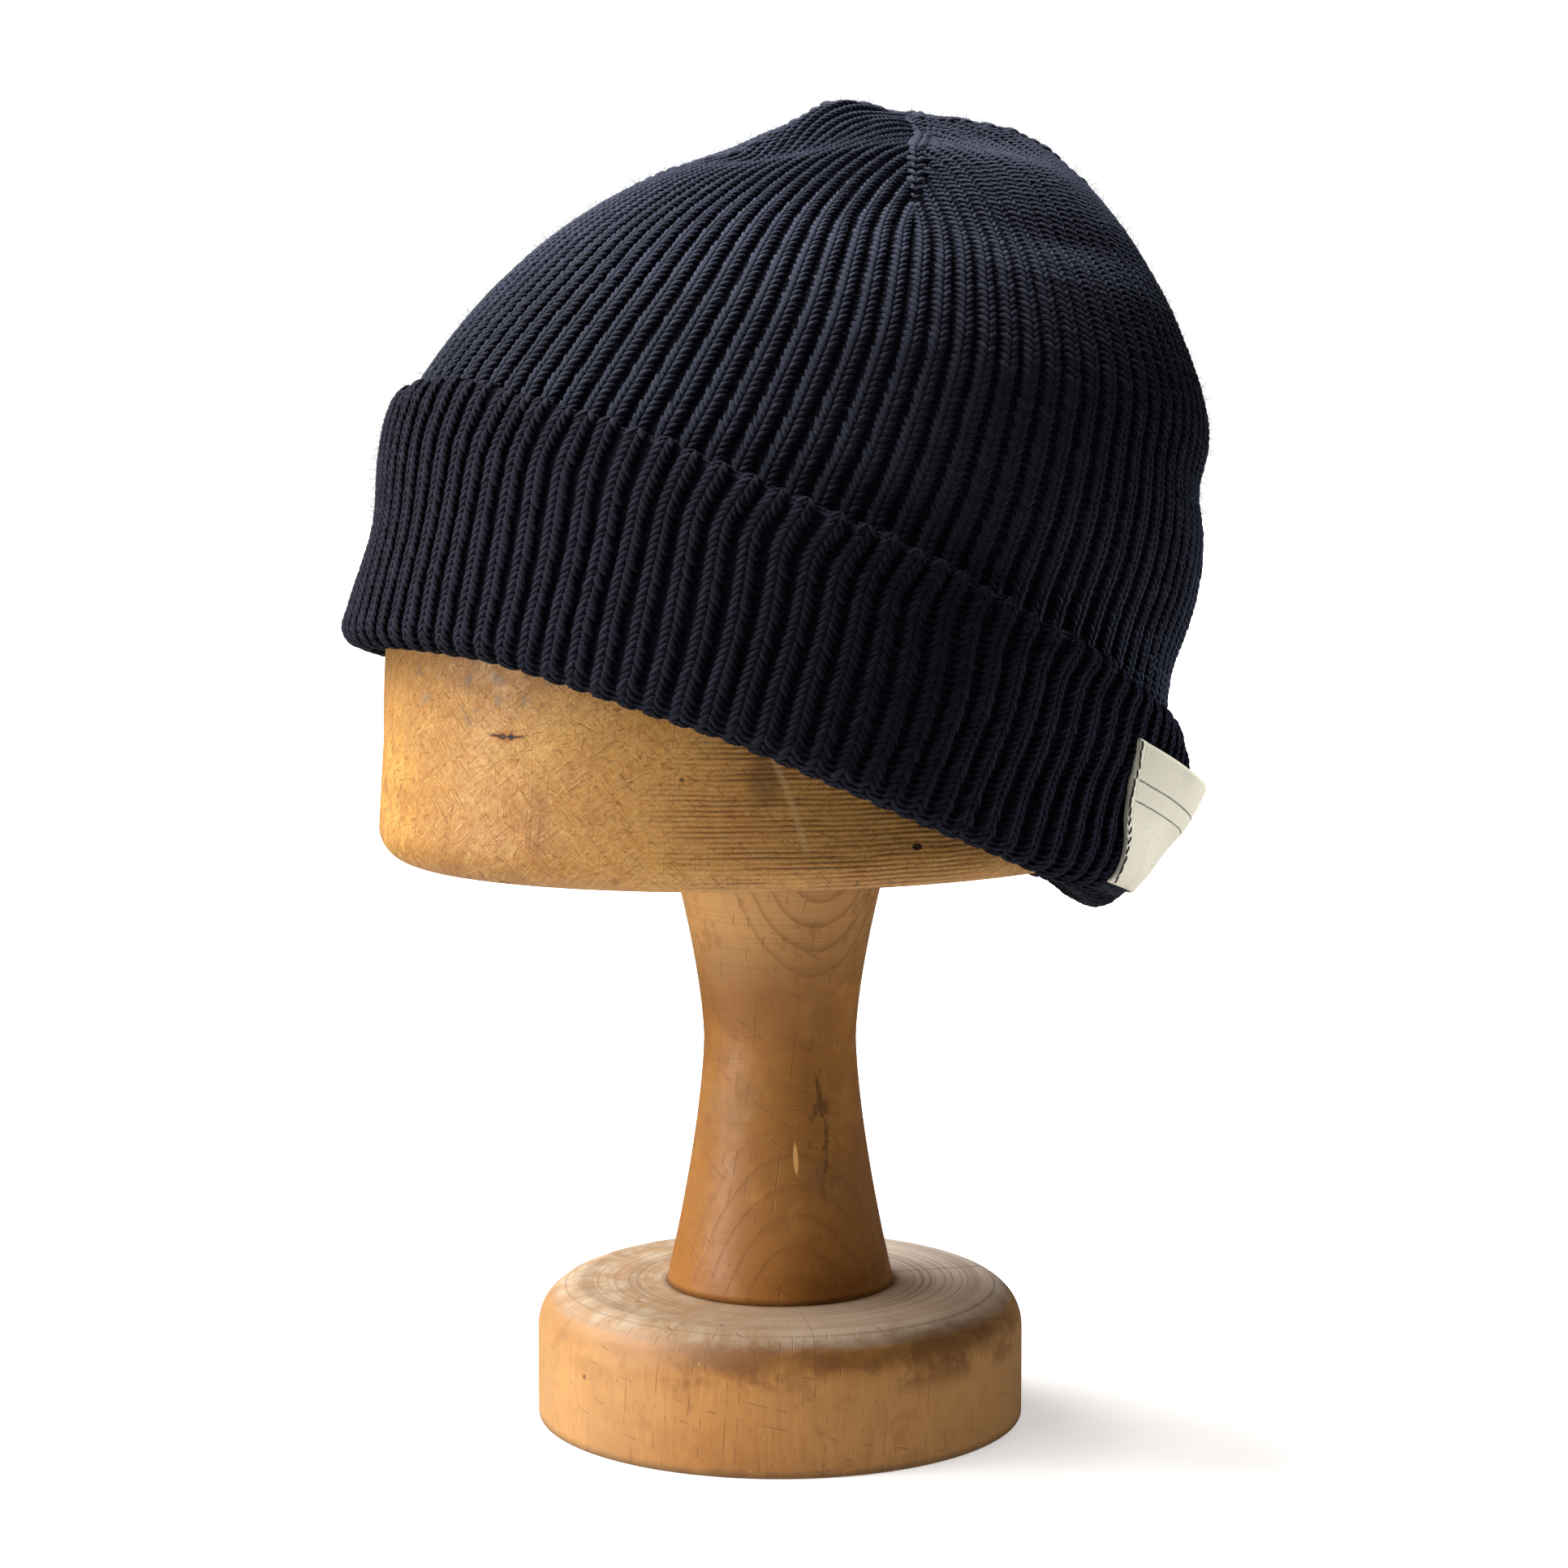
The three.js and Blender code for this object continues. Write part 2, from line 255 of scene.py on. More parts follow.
standShape = {
    "baseRadius": 60.8, "baseHeight": 33.5, "baseShoulder": 11, "baseFootBevel": 0.8,
    "stemFoot": 28.5, "stemWaist": 19, "stemTop": 27.5, "stemLength": 109.5,
    "stemWaistHeight": 62, "stemFlarePower": 1.5,
    "blockHeight": 155, "blockHalfLength": 98.5, "blockWidthRatio": 0.85, "blockTaper": 2,
    "blockEdge": 8, "domeStart": 30, "domePower": 2.3, "blockForward": 3.5,
    # how finely each is turned
    "sides": 128, "shoulderSteps": 14, "bevelSteps": 4, "stemRings": 56, "domeRings": 40,
    "sideRings": 10, "edgeSteps": 12, "baseRings": (20, 35), "baseSideRings": (12, 5), "blockUnderRing": 60,
}
blockFloor = standShape["baseHeight"] + standShape["stemLength"]


def arc(centre, radius, start, end, steps):
    angles = np.radians(np.linspace(start, end, steps + 1))
    return np.stack([centre[0] + radius * np.cos(angles), centre[1] + radius * np.sin(angles)], 1)


def stemRadius(height):
    s = standShape
    below = height < s["stemWaistHeight"]
    reach = np.where(below, s["stemWaistHeight"], s["stemLength"] - s["stemWaistHeight"])
    flare = np.where(below, s["stemFoot"], s["stemTop"]) - s["stemWaist"]
    return s["stemWaist"] + flare * (np.abs(height - s["stemWaistHeight"]) / reach) ** s["stemFlarePower"]


def blockReach(height):
    s = standShape
    depth = np.clip(s["blockEdge"] - height, 0, s["blockEdge"])
    edgeLoss = s["blockEdge"] - np.sqrt(s["blockEdge"] ** 2 - depth ** 2)
    side = s["blockHalfLength"] - s["blockTaper"] * height / s["domeStart"] - edgeLoss
    climb = np.clip((height - s["domeStart"]) / (s["blockHeight"] - s["domeStart"]), 0, 1)
    dome = (s["blockHalfLength"] - s["blockTaper"]) * (1 - climb ** s["domePower"]) ** (1 / s["domePower"])
    return np.where(height < s["domeStart"], side, dome)


def lathe(name, profile, material, lift=0.0, widthRatio=1.0, forward=0.0):
    # the profile runs from the axis above, down the outside, to the axis below
    turn = np.linspace(0, 2 * np.pi, standShape["sides"], endpoint=False)
    radius, height = profile[:, :1], profile[:, 1:]
    x = radius * np.sin(turn) * widthRatio
    y = radius * np.cos(turn) - forward
    return skin(name, np.stack([x, y, height + lift + 0 * x], -1), material)


# The knit's shape: slanted sections of its inner face, rim to top, in millimetres over the block's underside

capShape = {
    "frontY": [-100.5, -95, -86.5, -79, -67, -50, -31, -11, 13, 36],
    "frontZ": [54.5, 83, 112, 122, 134, 148, 158.5, 166, 176, 176.2],
    "backY": [73, 90, 93.5, 102, 105, 96.5, 86, 77, 66, 36],
    "backZ": [-12, 6, 24, 57, 98, 126, 149, 164.5, 173.2, 176.2],
    "halfWidth": [83.5, 83.8, 83, 85, 84, 74, 58, 38.5, 19.5, 0],
    "sideDrop": [4, 2, 0.8, 0, 0, 0, 2, 4, 3.5, 0],
    "dents": {  # hollows (negative) and swellings of the slack knit
        "angle": [186, 180, 113, 75, 194, 32, 75, 8, 14, 116, 76, 32, 32, 207],
        "row": [6.5, 7.3, 8, 8, 8.15, 3.65, 5.6, 8.62, 8.1, 6.9, 6.8, 2.5, 3.15, 7.9],
        "depth": [-0.6, -4.5, -2, -1.2, 3.0, -2.5, -1.5, 1.0, 0.4, 5.5, 2.4, -1.6, 0.3, -2.8],
        "angleSpread": [24, 30, 14, 22, 22, 35, 20, 26, 16, 34, 22, 32, 30, 24],
        "rowSpread": [0.4, 0.42, 0.8, 0.7, 0.5, 0.22, 0.3, 0.13, 0.14, 0.8, 0.6, 0.3, 0.22, 0.32],
    },
    "cuffTopRow": 2, "wall": 3.4, "layerGap": 0.5,
    "blockClearance": 0.6, "edgeEase": 1, "curlHeight": 10.5, "curlRate": 0.046,
    "quarters": 4, "ribsPerQuarter": 24, "seamTurn": 23, "decreaseStart": 0.67, "decreaseEase": 0.16,
}
ribCount = capShape["quarters"] * capShape["ribsPerQuarter"]
halfQuarter = capShape["ribsPerQuarter"] / 2
ribSteps = np.arange(-halfQuarter + 0.5, halfQuarter)  # the crests of a quarter's ribs
lastRow = len(capShape["frontY"]) - 1


def curveThrough(points, share):
    # a centripetal curve through points, at shares of the way along
    last = len(points) - 1
    place = np.minimum(share, 1) * last  # a share below 0 carries the first stretch on
    index = np.clip(np.floor(place).astype(int), 0, last - 1)
    t = (place - index)[..., None]
    padded = np.vstack([2 * points[0] - points[1], points, 2 * points[-1] - points[-2]])
    a, b, c, d = (padded[index + k] for k in range(4))
    gaps = [((q - p) ** 2).sum(-1, keepdims=True) ** 0.25 for p, q in ((a, b), (b, c), (c, d))]
    middle = np.where(gaps[1] < 1e-4, 1, gaps[1])
    before, after = (np.where(gap < 1e-4, middle, gap) for gap in (gaps[0], gaps[2]))
    leave = ((b - a) / before - (c - a) / (before + middle) + (c - b) / middle) * middle
    reach = ((c - b) / middle - (d - b) / (middle + after) + (d - c) / after) * middle
    bend = 3 * (c - b) - 2 * leave - reach
    return b + leave * t + bend * t ** 2 + (2 * (b - c) + leave + reach) * t ** 3


rowNumbers = np.arange(lastRow + 1.0)
frontPoints = np.column_stack([0 * rowNumbers, capShape["frontY"], capShape["frontZ"]])
backPoints = np.column_stack([0 * rowNumbers, capShape["backY"], capShape["backZ"]])
widthPoints = np.column_stack([capShape["halfWidth"], rowNumbers, capShape["sideDrop"]])


def loftPoint(angle, row):
    share = np.asarray(row, float) / lastRow
    turn = np.radians(angle)
    width = curveThrough(widthPoints, share)
    front, back = curveThrough(frontPoints, share), curveThrough(backPoints, share)
    point = front + (back - front) * (0.5 + 0.5 * np.cos(turn))[..., None]
    point[..., 0] += width[..., 0] * np.sin(turn)
    point[..., 2] -= width[..., 2] * np.sin(turn)
    return point


def loftNormal(angle, row):
    low = np.minimum(row, lastRow - 0.1)
    climb = loftPoint(angle, low + 0.05) - loftPoint(angle, low - 0.05)
    sweep = loftPoint(angle + 0.5, low) - loftPoint(angle - 0.5, low)
    normal = np.cross(climb, sweep)
    return normal / np.linalg.norm(normal, axis=-1, keepdims=True)


def lobes(table, angle, along):
    # the sum of soft swellings and hollows
    total = 0.0
    for lobeAngle, lobeAlong, depth, angleSpread, alongSpread in zip(*table.values()):
        turn = np.mod(angle - lobeAngle + 180, 360) - 180
        total = total + depth * np.exp(-(turn / angleSpread) ** 2 - ((along - lobeAlong) / alongSpread) ** 2)
    return total


def restReach(height):
    c, s = capShape, standShape
    side = s["blockHalfLength"] - s["blockTaper"] * height / s["domeStart"] + c["blockClearance"]
    ease = c["edgeEase"] * np.minimum(2 - height / c["curlHeight"], 1)
    curled = side + ease - c["curlRate"] * np.maximum(c["curlHeight"] - height, 0) ** 2
    return np.where(height > 2 * c["curlHeight"], blockReach(height) + c["blockClearance"], curled)


def drape(point):
    across = point[..., 0] / standShape["blockWidthRatio"]
    along = point[..., 1] + standShape["blockForward"]
    distance = np.maximum(np.hypot(across, along), 1e-9)
    reach = np.where(point[..., 2] > standShape["blockHeight"], 0, restReach(point[..., 2]))
    push = np.maximum(reach / distance, 1)
    moved = point.copy()
    moved[..., 0] *= push
    moved[..., 1] = along * push - standShape["blockForward"]
    return moved


def knitPoint(angle, row, out):
    angle, row, out = np.broadcast_arrays(np.asarray(angle, float), row, out)
    normal = loftNormal(angle, row)
    inner = drape(loftPoint(angle, row) + lobes(capShape["dents"], angle, row)[..., None] * normal)
    return inner + out[..., None] * normal + np.array([0, 0, blockFloor])


girthRows = np.linspace(0, lastRow, 181)
girthTurns = np.arange(0, 361, 10.0)
girthLoops = loftPoint(*np.broadcast_arrays(girthTurns[None, :], girthRows[:, None]))
girthLengths = np.linalg.norm(np.diff(girthLoops, axis=1), axis=-1).sum(1)


def girth(row):
    return np.interp(row, girthRows, girthLengths)


fullGirth = girth(capShape["cuffTopRow"])


def ribsBeside(row):  # ribs left on each side of a quarter's middle
    left = np.clip(girth(row) / (fullGirth * capShape["decreaseStart"]), 0.01, 1.3)
    blend = np.clip(0.5 + (1 - left) / (2 * capShape["decreaseEase"]), 0, 1)  # a soft least of left and 1
    return halfQuarter * (1 + (left - 1) * blend - capShape["decreaseEase"] * blend * (1 - blend))


def ribPlace(quarter, step, row):
    beside = ribsBeside(row)
    held = np.clip(step, -beside, beside)
    angle = capShape["seamTurn"] + 90 * (quarter + 0.5 + held / (2 * beside))
    return angle, held, beside


def ribPitch(row, beside):
    return girth(row) / (2 * capShape["quarters"] * beside)


def smooth(value, start, end):
    t = np.clip((value - start) / (end - start), 0, 1)
    return t * t * (3 - 2 * t)


# Wood finishes: honey wood with flecks, scratches, stains and the marks of long use, in metres

woodMarks = {  # the middle of each mark, and one over the half lengths of the oval round it
    "sawLines": ((0.079, -0.030, 0.160), (21, 21, 34)),
    "greyStain": ((0.022, -0.096, 0.188), (26, 26, 90)),
    "yellowStain": ((-0.0116, -0.1001, 0.1565), (45, 45, 30)),
    "brownStreak": ((0.0416, -0.0877, 0.1575), (230, 230, 75)),
    "smudge": ((0.0745, -0.0470, 0.1700), (170, 170, 95)),
    "bruises": ((0.0205, -0.0005, 0.0735), (230, 230, 31)),
    "longNick": ((0.0203, -0.0074, 0.0682), (950, 1500, 190)),
    "shortNick": ((0.0186, -0.0150, 0.0660), (950, 1700, 330)),
}
woodLines = {  # sets of scratches: slope in degrees, length, spacing, width in the spacing, noise that shows
    "blockPale": [(38, 0.012, 0.0040, 0.05, 0.54), (-52, 0.016, 0.0052, 0.04, 0.54),
                  (14, 0.014, 0.0060, 0.035, 0.54)],
    "blockDark": [(-24, 0.004, 0.0042, 0.05, 0.60), (64, 0.004, 0.0046, 0.05, 0.60)],
    "stemDark": [(82, 0.006, 0.0040, 0.06, 0.58), (-30, 0.006, 0.0050, 0.05, 0.60)],
    "baseDark": [(86, 0.004, 0.0030, 0.06, 0.56), (-12, 0.006, 0.0044, 0.05, 0.60)],
    "basePale": [(68, 0.003, 0.0070, 0.05, 0.66)],
}
woodTones = {  # each wood's clouds, from dark to light
    "block": [(0.32, (0.33, 0.138, 0.030)), (0.46, (0.49, 0.232, 0.058)),
              (0.58, (0.59, 0.305, 0.082)), (0.72, (0.68, 0.385, 0.118))],
    "stem": [(0.30, (0.238, 0.096, 0.018)), (0.52, (0.315, 0.134, 0.027)), (0.74, (0.395, 0.181, 0.043))],
    "base": [(0.30, (0.255, 0.100, 0.019)), (0.52, (0.340, 0.146, 0.031)), (0.75, (0.415, 0.197, 0.050))],
}
woodRadius = {"block": 0.092, "stem": 0.023, "base": 0.0608}  # turns an angle into a length round the wood


def onMark(f, where, mark, inside, outside=1.0, blur=0.0):
    # 1 inside a mark to 0 outside its oval
    place, scale = woodMarks[mark]
    away = f.vectors("LENGTH", f.stretched(f.vectors("SUBTRACT", where, place), scale), output="Value")
    return f.fade(away + blur, outside, inside)


def slanted(along, across, slope):
    turn = math.radians(slope)
    return (along * math.cos(turn) + across * math.sin(turn),
            across * math.cos(turn) - along * math.sin(turn))


def scratches(f, along, across, name):
    # straight broken lines on a surface where along and across are lengths
    total = 0
    for slope, length, spacing, width, show in woodLines[name]:
        run, aside = slanted(along, across, slope)
        lane = aside / spacing + 0.5 * f.noise(f.point(run * 25, aside * 60, slope), detail=1)
        number = f.maths("FLOOR", lane)
        line = f.fade(f.gap(lane - number - 0.5), width, width * 0.35)
        shown = f.noise(f.point(run / length, number * 7.31, slope), detail=1)
        total = total + line * f.fade(shown, show, show + 0.05)
    return f.maths("MINIMUM", 1, total)


def fibres(f, along, across, slope, length, width=0.0005):
    # noise drawn out along one slope of the same surface
    run, aside = slanted(along, across, slope)
    return f.noise(f.point(run / length, aside / width, slope), detail=3, rough=0.6)


def oval(f, along, across, halfLong, halfWide):  # 1 at the edge of a small mark
    long, wide = along / halfLong, across / halfWide
    return f.maths("SQRT", long * long + wide * wide)


def pinHoles(f, where, size, patch, show):
    specks = f.node("ShaderNodeTexVoronoi", {}, {"Vector": where, "Scale": 150.0}, output="Distance")
    return f.fade(specks, *size) * f.fade(f.noise(where, patch, 1), *show)


def waxed(f, colour, roughness, height, depth, shine):
    return f.surface(base_color=colour, roughness=roughness, normal=f.bump(height, depth), coat_weight=0.04,
                     coat_roughness=0.40, specular_ior_level=shine)


def blockWood():
    f = Finish("block_wood")
    where = f.place()
    x, y, z = f.parts(where)
    turn = f.maths("ARCTAN2", y + standShape["blockForward"] * mm, x / standShape["blockWidthRatio"])
    around = woodRadius["block"] * turn
    aside = 0.5 * x + 0.866 * y  # distance to the camera's right; the colour that follows it below is painted light and shade
    mottle = f.noise(where, 190, 6, 0.75, 0.5)
    grain = f.noise(where, 650, 4, 0.8)
    blotch = f.fade(f.noise(where, 85, 4, 0.6, 1.2), 0.52, 0.64)
    gold = f.fade(f.noise(where, 38, 3, 0.6, 1.0), 0.56, 0.72)
    yellow = onMark(f, where, "yellowStain", 0.4) * f.fade(mottle, 0.42, 0.58)

    # short fibres and strokes in many directions
    bright = f.most(f.fade(fibres(f, around, z, 40, 0.0120), 0.59, 0.63),
                    f.fade(fibres(f, around, z, -25, 0.0100), 0.60, 0.64))
    flecks = f.most(f.fade(fibres(f, around, z, 8, 0.0036, 0.0006), 0.60, 0.63),
                    f.fade(fibres(f, around, z, -52, 0.0030, 0.0006), 0.61, 0.64))
    first, second, third = (fibres(f, around, z, slope, 0.013) for slope in (33, -46, 86))
    raised = f.most(f.fade(first, 0.57, 0.70), f.fade(second, 0.58, 0.70), f.fade(third, 0.58, 0.72))
    sunken = f.most(f.fade(first, 0.42, 0.30), f.fade(second, 0.41, 0.30), f.fade(third, 0.40, 0.28))
    pale, strokes = (scratches(f, around, z, name) for name in ("blockPale", "blockDark"))
    streak = onMark(f, where, "brownStreak", 0.3) * f.fade(third, 0.36, 0.54)

    # level saw lines on the browner half, a smudge and a pale crease
    sawn = onMark(f, where, "sawLines", 0.60, 1.10)
    lines = f.wave(z * 5300 + 5 * f.noise(where, 55, 2))
    patchy = f.fade(f.noise(f.stretched(where, (45, 45, 420)), detail=2), 0.36, 0.58)
    smudge = onMark(f, where, "smudge", 0.3, blur=0.6 * (mottle - 0.5))
    climb = z - 0.164
    crease = f.fade(f.gap(around + 0.0364 + 0.345 * climb + 6.0 * climb ** 2.0), 0.0013, 0.0002)
    crease = crease * f.fade(z, 0.150, 0.156) * f.fade(z, 0.178, 0.172)

    # grey stains, the worn lower edge and pin holes
    stain = onMark(f, where, "greyStain", 0.4) * f.fade(f.noise(where, 190, 4, 0.65), 0.57, 0.63)
    edge = f.fade(z + 0.005 * f.noise(where, 190, 4, 0.7), 0.1500, 0.1456)
    chips = f.fade(f.noise(where, 330, 4, 0.65), 0.56, 0.64) * f.fade(f.noise(where, 42, 1), 0.44, 0.58)
    chips = chips * f.fade(z, 0.1482, 0.1450)
    pits = pinHoles(f, where, (0.10, 0.04), 45, (0.57, 0.62))

    # a split with two small knots, and a dark spot
    wobble = 0.7 * (f.noise(where, 700, 3, 0.6) - 0.5)
    u, v = around + 0.1050, z - 0.1777

    def spotAt(along, across, halfLong, halfWide, inside=0.6):
        return f.fade(oval(f, along, across, halfLong, halfWide) + wobble, 1.1, inside)

    crack = f.fade(f.gap(v - 12.0 * u * u + 0.0004 * wobble), 0.00042, 0.00012)
    crack = crack * f.fade(f.gap(u), 0.0070, 0.0035)
    knots = f.most(spotAt(u + 0.0013, v, 0.0015, 0.0008), spotAt(u - 0.0014, v, 0.0012, 0.0009))
    halo = spotAt(u, v, 0.0046, 0.0017, 0.5)
    dark = f.most(spotAt(around + 0.0078, z - 0.1529, 0.0012, 0.0009, 0.8),
                  spotAt(u - 0.0014, v, 0.0008, 0.0006))

    colour = f.paint(f.ramp(f.noise(where, 24, 5, 0.6, 0.8), woodTones["block"]), [
        (0.42, f.fade(mottle, 0.50, 0.64), (0.39, 0.178, 0.046)),
        (0.30, f.fade(mottle, 0.49, 0.36), (0.74, 0.430, 0.135)),
        # painted shade at the far left end and painted light from the middle to the right, for how the lamps fall
        (0.70, f.fade(aside, -0.050, -0.090), (0.42, 0.195, 0.052)),
        (0.70, f.fade(aside, -0.072, -0.010), (0.80, 0.405, 0.100)),
        (0.42, blotch, (0.52, 0.215, 0.040)),
        (0.40, gold, (0.74, 0.375, 0.065)),
        (0.60, yellow, (0.78, 0.415, 0.080)),
        (0.20, f.fade(grain, 0.51, 0.58), (0.38, 0.158, 0.036)),
        (0.20, f.fade(grain, 0.48, 0.40), (0.84, 0.525, 0.180)),
        (0.32, bright, (0.86, 0.565, 0.215)),
        (0.72, flecks, (0.32, 0.098, 0.013)),
        (0.32, raised, (0.84, 0.530, 0.190)),
        (0.46, sunken, (0.34, 0.118, 0.018)),
        (0.20, pale, (0.86, 0.580, 0.245)),
        (0.36, strokes, (0.22, 0.082, 0.019)),
        (0.60, streak, (0.30, 0.110, 0.022)),
        (0.30, sawn, (0.58, 0.250, 0.055)),
        (0.80, sawn * patchy * f.fade(lines, 0.45, 0.95), (0.18, 0.062, 0.012)),
        (0.60, smudge, (0.20, 0.076, 0.017)),
        (0.55, crease, (0.76, 0.480, 0.200)),
        (0.50, stain, (0.20, 0.170, 0.140)),
        (0.45, edge, (0.36, 0.190, 0.072)),
        (0.75, chips, (0.13, 0.068, 0.030)),
        (0.85, pits, (0.07, 0.028, 0.010)),
        (0.60, halo, (0.46, 0.150, 0.020)),
        (0.95, f.most(crack, knots), (0.060, 0.016, 0.003)),
        (0.95, dark, (0.030, 0.0115, 0.0045)),
    ])
    roughness = 0.46 + 0.20 * f.fade(mottle, 0.4, 0.7) + 0.15 * edge - 0.08 * gold
    height = 0.40 * mottle + 0.30 * raised - 0.30 * sunken - 0.3 * f.most(dark, knots)
    height = height - 0.5 * pits - 0.4 * strokes - 0.4 * lines * sawn - 0.6 * chips
    return waxed(f, colour, roughness, height, 0.00036, 0.36)


def stemWood():
    f = Finish("stem_wood")
    where = f.place()
    x, y, z = f.parts(where)
    around = woodRadius["stem"] * f.maths("ARCTAN2", y, x)
    wander = 0.5 * (f.noise(where, 55, 4, 0.6) - 0.5)

    def arches(centreTurn, centreZ, wide, tall, low, high):
        # nested arches of growth rings that the turning cut through
        centre = woodRadius["stem"] * math.radians(centreTurn)
        reach = oval(f, around - centre, z - centreZ, wide, tall) + wander
        ring = f.maths("FRACT", reach)
        line = f.fade(ring, 0.62, 0.93) * f.fade(ring, 1.0, 0.95) * f.fade(reach, 9.0, 6.0)
        return line * f.fade(z, low, low + 0.012) * f.fade(z, high, high - 0.010)

    late = f.most(arches(-6, 0.158, 0.0034, 0.0064, 0.096, 0.150),
                  arches(-19, 0.026, 0.0042, 0.0074, 0.030, 0.080))
    turning = f.noise(f.stretched(where, (18, 18, 1900)), detail=3)
    mottle = f.noise(f.stretched(where, (170, 170, 110)), detail=5, rough=0.7)
    grey = f.fade(f.noise(where, 42, 4, 0.6), 0.50, 0.66) * f.fade(f.gap(z - 0.092), 0.045, 0.012)
    strokes = scratches(f, around, z, "stemDark")

    # a column of bruises and two pale nicks
    bruised = onMark(f, where, "bruises", 0.40, blur=0.8 * (mottle - 0.5))
    bruised = bruised * f.fade(f.noise(f.stretched(where, (420, 420, 150)), detail=4), 0.53, 0.62)
    nick = f.most(*(onMark(f, where, mark, 0.7, 1.1) for mark in ("longNick", "shortNick")))

    colour = f.paint(f.ramp(f.noise(where, 26, 5, 0.6, 0.6), woodTones["stem"]), [
        # painted light: the top of the stem paler where the block's shadow falls
        (0.85, f.fade(z, 0.104, 0.134), (0.58, 0.325, 0.112)),
        (0.40, late, (0.205, 0.072, 0.012)),
        (0.20, f.fade(turning, 0.50, 0.66), (0.20, 0.074, 0.014)),
        (0.45, f.fade(mottle, 0.52, 0.68), (0.235, 0.088, 0.016)),
        (0.26, f.fade(mottle, 0.46, 0.34), (0.49, 0.250, 0.068)),
        (0.34, grey, (0.26, 0.155, 0.070)),
        (0.35, f.fade(z, 0.062, 0.034), (0.315, 0.108, 0.014)),  # the foot of the stem
        (0.40, f.fade(z, 0.0352, 0.0335), (0.08, 0.036, 0.013)),  # and painted shade in the crevice under it
        (0.35, strokes, (0.17, 0.066, 0.016)),
        (0.70, bruised, (0.100, 0.040, 0.010)),
        (0.85, nick, (0.72, 0.40, 0.135)),
    ])
    roughness = 0.44 + 0.15 * f.fade(mottle, 0.4, 0.7) + 0.12 * grey
    height = 0.30 * turning + 0.30 * mottle - 0.7 * bruised - 0.5 * nick - 0.2 * late - 0.3 * strokes
    return waxed(f, colour, roughness, height, 0.00022, 0.32)


def baseWood():
    f = Finish("base_wood")
    where = f.place()
    x, y, z = f.parts(where)
    radius = f.maths("SQRT", x * x + y * y)
    around = woodRadius["base"] * f.maths("ARCTAN2", y, x)
    # distance to the camera's right, which the painted light below follows
    aside = 0.5 * x + 0.866 * y
    mottle = f.noise(where, 140, 6, 0.7, 0.4)
    upright = f.noise(f.stretched(where, (620, 620, 80)), detail=4, rough=0.6)

    # the top face is turned and worn grey, and painted paler towards the camera's right, as painted light
    upper = f.fade(z, 0.0290, 0.0334)
    ringed = f.noise(f.point(radius * 1100, z * 300, 0.6 * f.noise(where, 12)), detail=3)
    front = f.fade(0.866 * x - 0.5 * y, -0.010, 0.030) * f.fade(aside, -0.045, -0.010)
    # painted shade on the top face round the foot of the stem
    seatShade = f.fade(radius, 0.0300, 0.0286) * upper

    # a dark band of handling round the shoulder, patchy, brown smears below it, and the foot darker towards the
    # bottom
    band = f.fade(f.gap(z - 0.0284 + 0.006 * (mottle - 0.5)), 0.0052, 0.0010)
    band = band * f.fade(f.noise(where, 40, 4, 0.6), 0.32, 0.54)
    smear = f.fade(f.gap(z - 0.0235), 0.0065, 0.001) * f.fade(f.noise(where, 60, 4, 0.65), 0.46, 0.60)
    foot = f.fade(z + 0.0014 * f.noise(where, 240, 3), 0.0034, 0.0008)
    strokes, pale = (scratches(f, around, z, name) for name in ("baseDark", "basePale"))
    pits = pinHoles(f, where, (0.13, 0.06), 50, (0.58, 0.63))

    colour = f.paint(f.ramp(f.noise(where, 26, 5, 0.6, 0.6), woodTones["base"]), [
        (0.24, f.fade(upright, 0.52, 0.68), (0.215, 0.077, 0.014)),
        (0.22, f.fade(upright, 0.46, 0.34), (0.500, 0.255, 0.075)),
        (0.45, f.fade(mottle, 0.52, 0.66), (0.225, 0.082, 0.017)),
        # painted light on the sides: paler towards the camera's left and towards its right
        (0.50, f.fade(aside, -0.015, -0.062), (0.460, 0.275, 0.115)),
        (0.45, f.fade(aside, 0.015, 0.050), (0.520, 0.275, 0.090)),
        (0.80, upper, (0.340, 0.228, 0.130)),
        (1.00, upper * f.fade(mottle, 0.40, 0.64), (0.440, 0.345, 0.240)),
        # painted light: the top face paler towards the camera's right
        (0.92, upper * f.fade(aside, -0.030, 0.045), (0.800, 0.700, 0.600)),
        (0.50, upper * f.fade(ringed, 0.50, 0.62), (0.170, 0.122, 0.082)),
        (0.50, front * upper, (0.260, 0.162, 0.078)),
        (0.22 + 0.60 * front, band, (0.150, 0.064, 0.018)),
        (0.25 + 0.45 * front, smear, (0.170, 0.058, 0.011)),
        (0.70, foot, (0.100, 0.055, 0.022)),
        (0.40, seatShade, (0.08, 0.042, 0.018)),
        (0.35, strokes, (0.150, 0.056, 0.014)),
        (0.40, pale, (0.600, 0.340, 0.120)),
        (0.70, pits, (0.080, 0.036, 0.013)),
    ])
    roughness = 0.48 + 0.18 * upper + 0.10 * f.fade(mottle, 0.4, 0.7)
    height = 0.3 * upright + 0.3 * mottle + 0.35 * ringed * upper - 0.5 * pits - 0.3 * strokes - 0.3 * pale
    return waxed(f, colour, roughness, height, 0.00028, 0.34)


# The stand: smooth turned pieces in place of the faceted ones

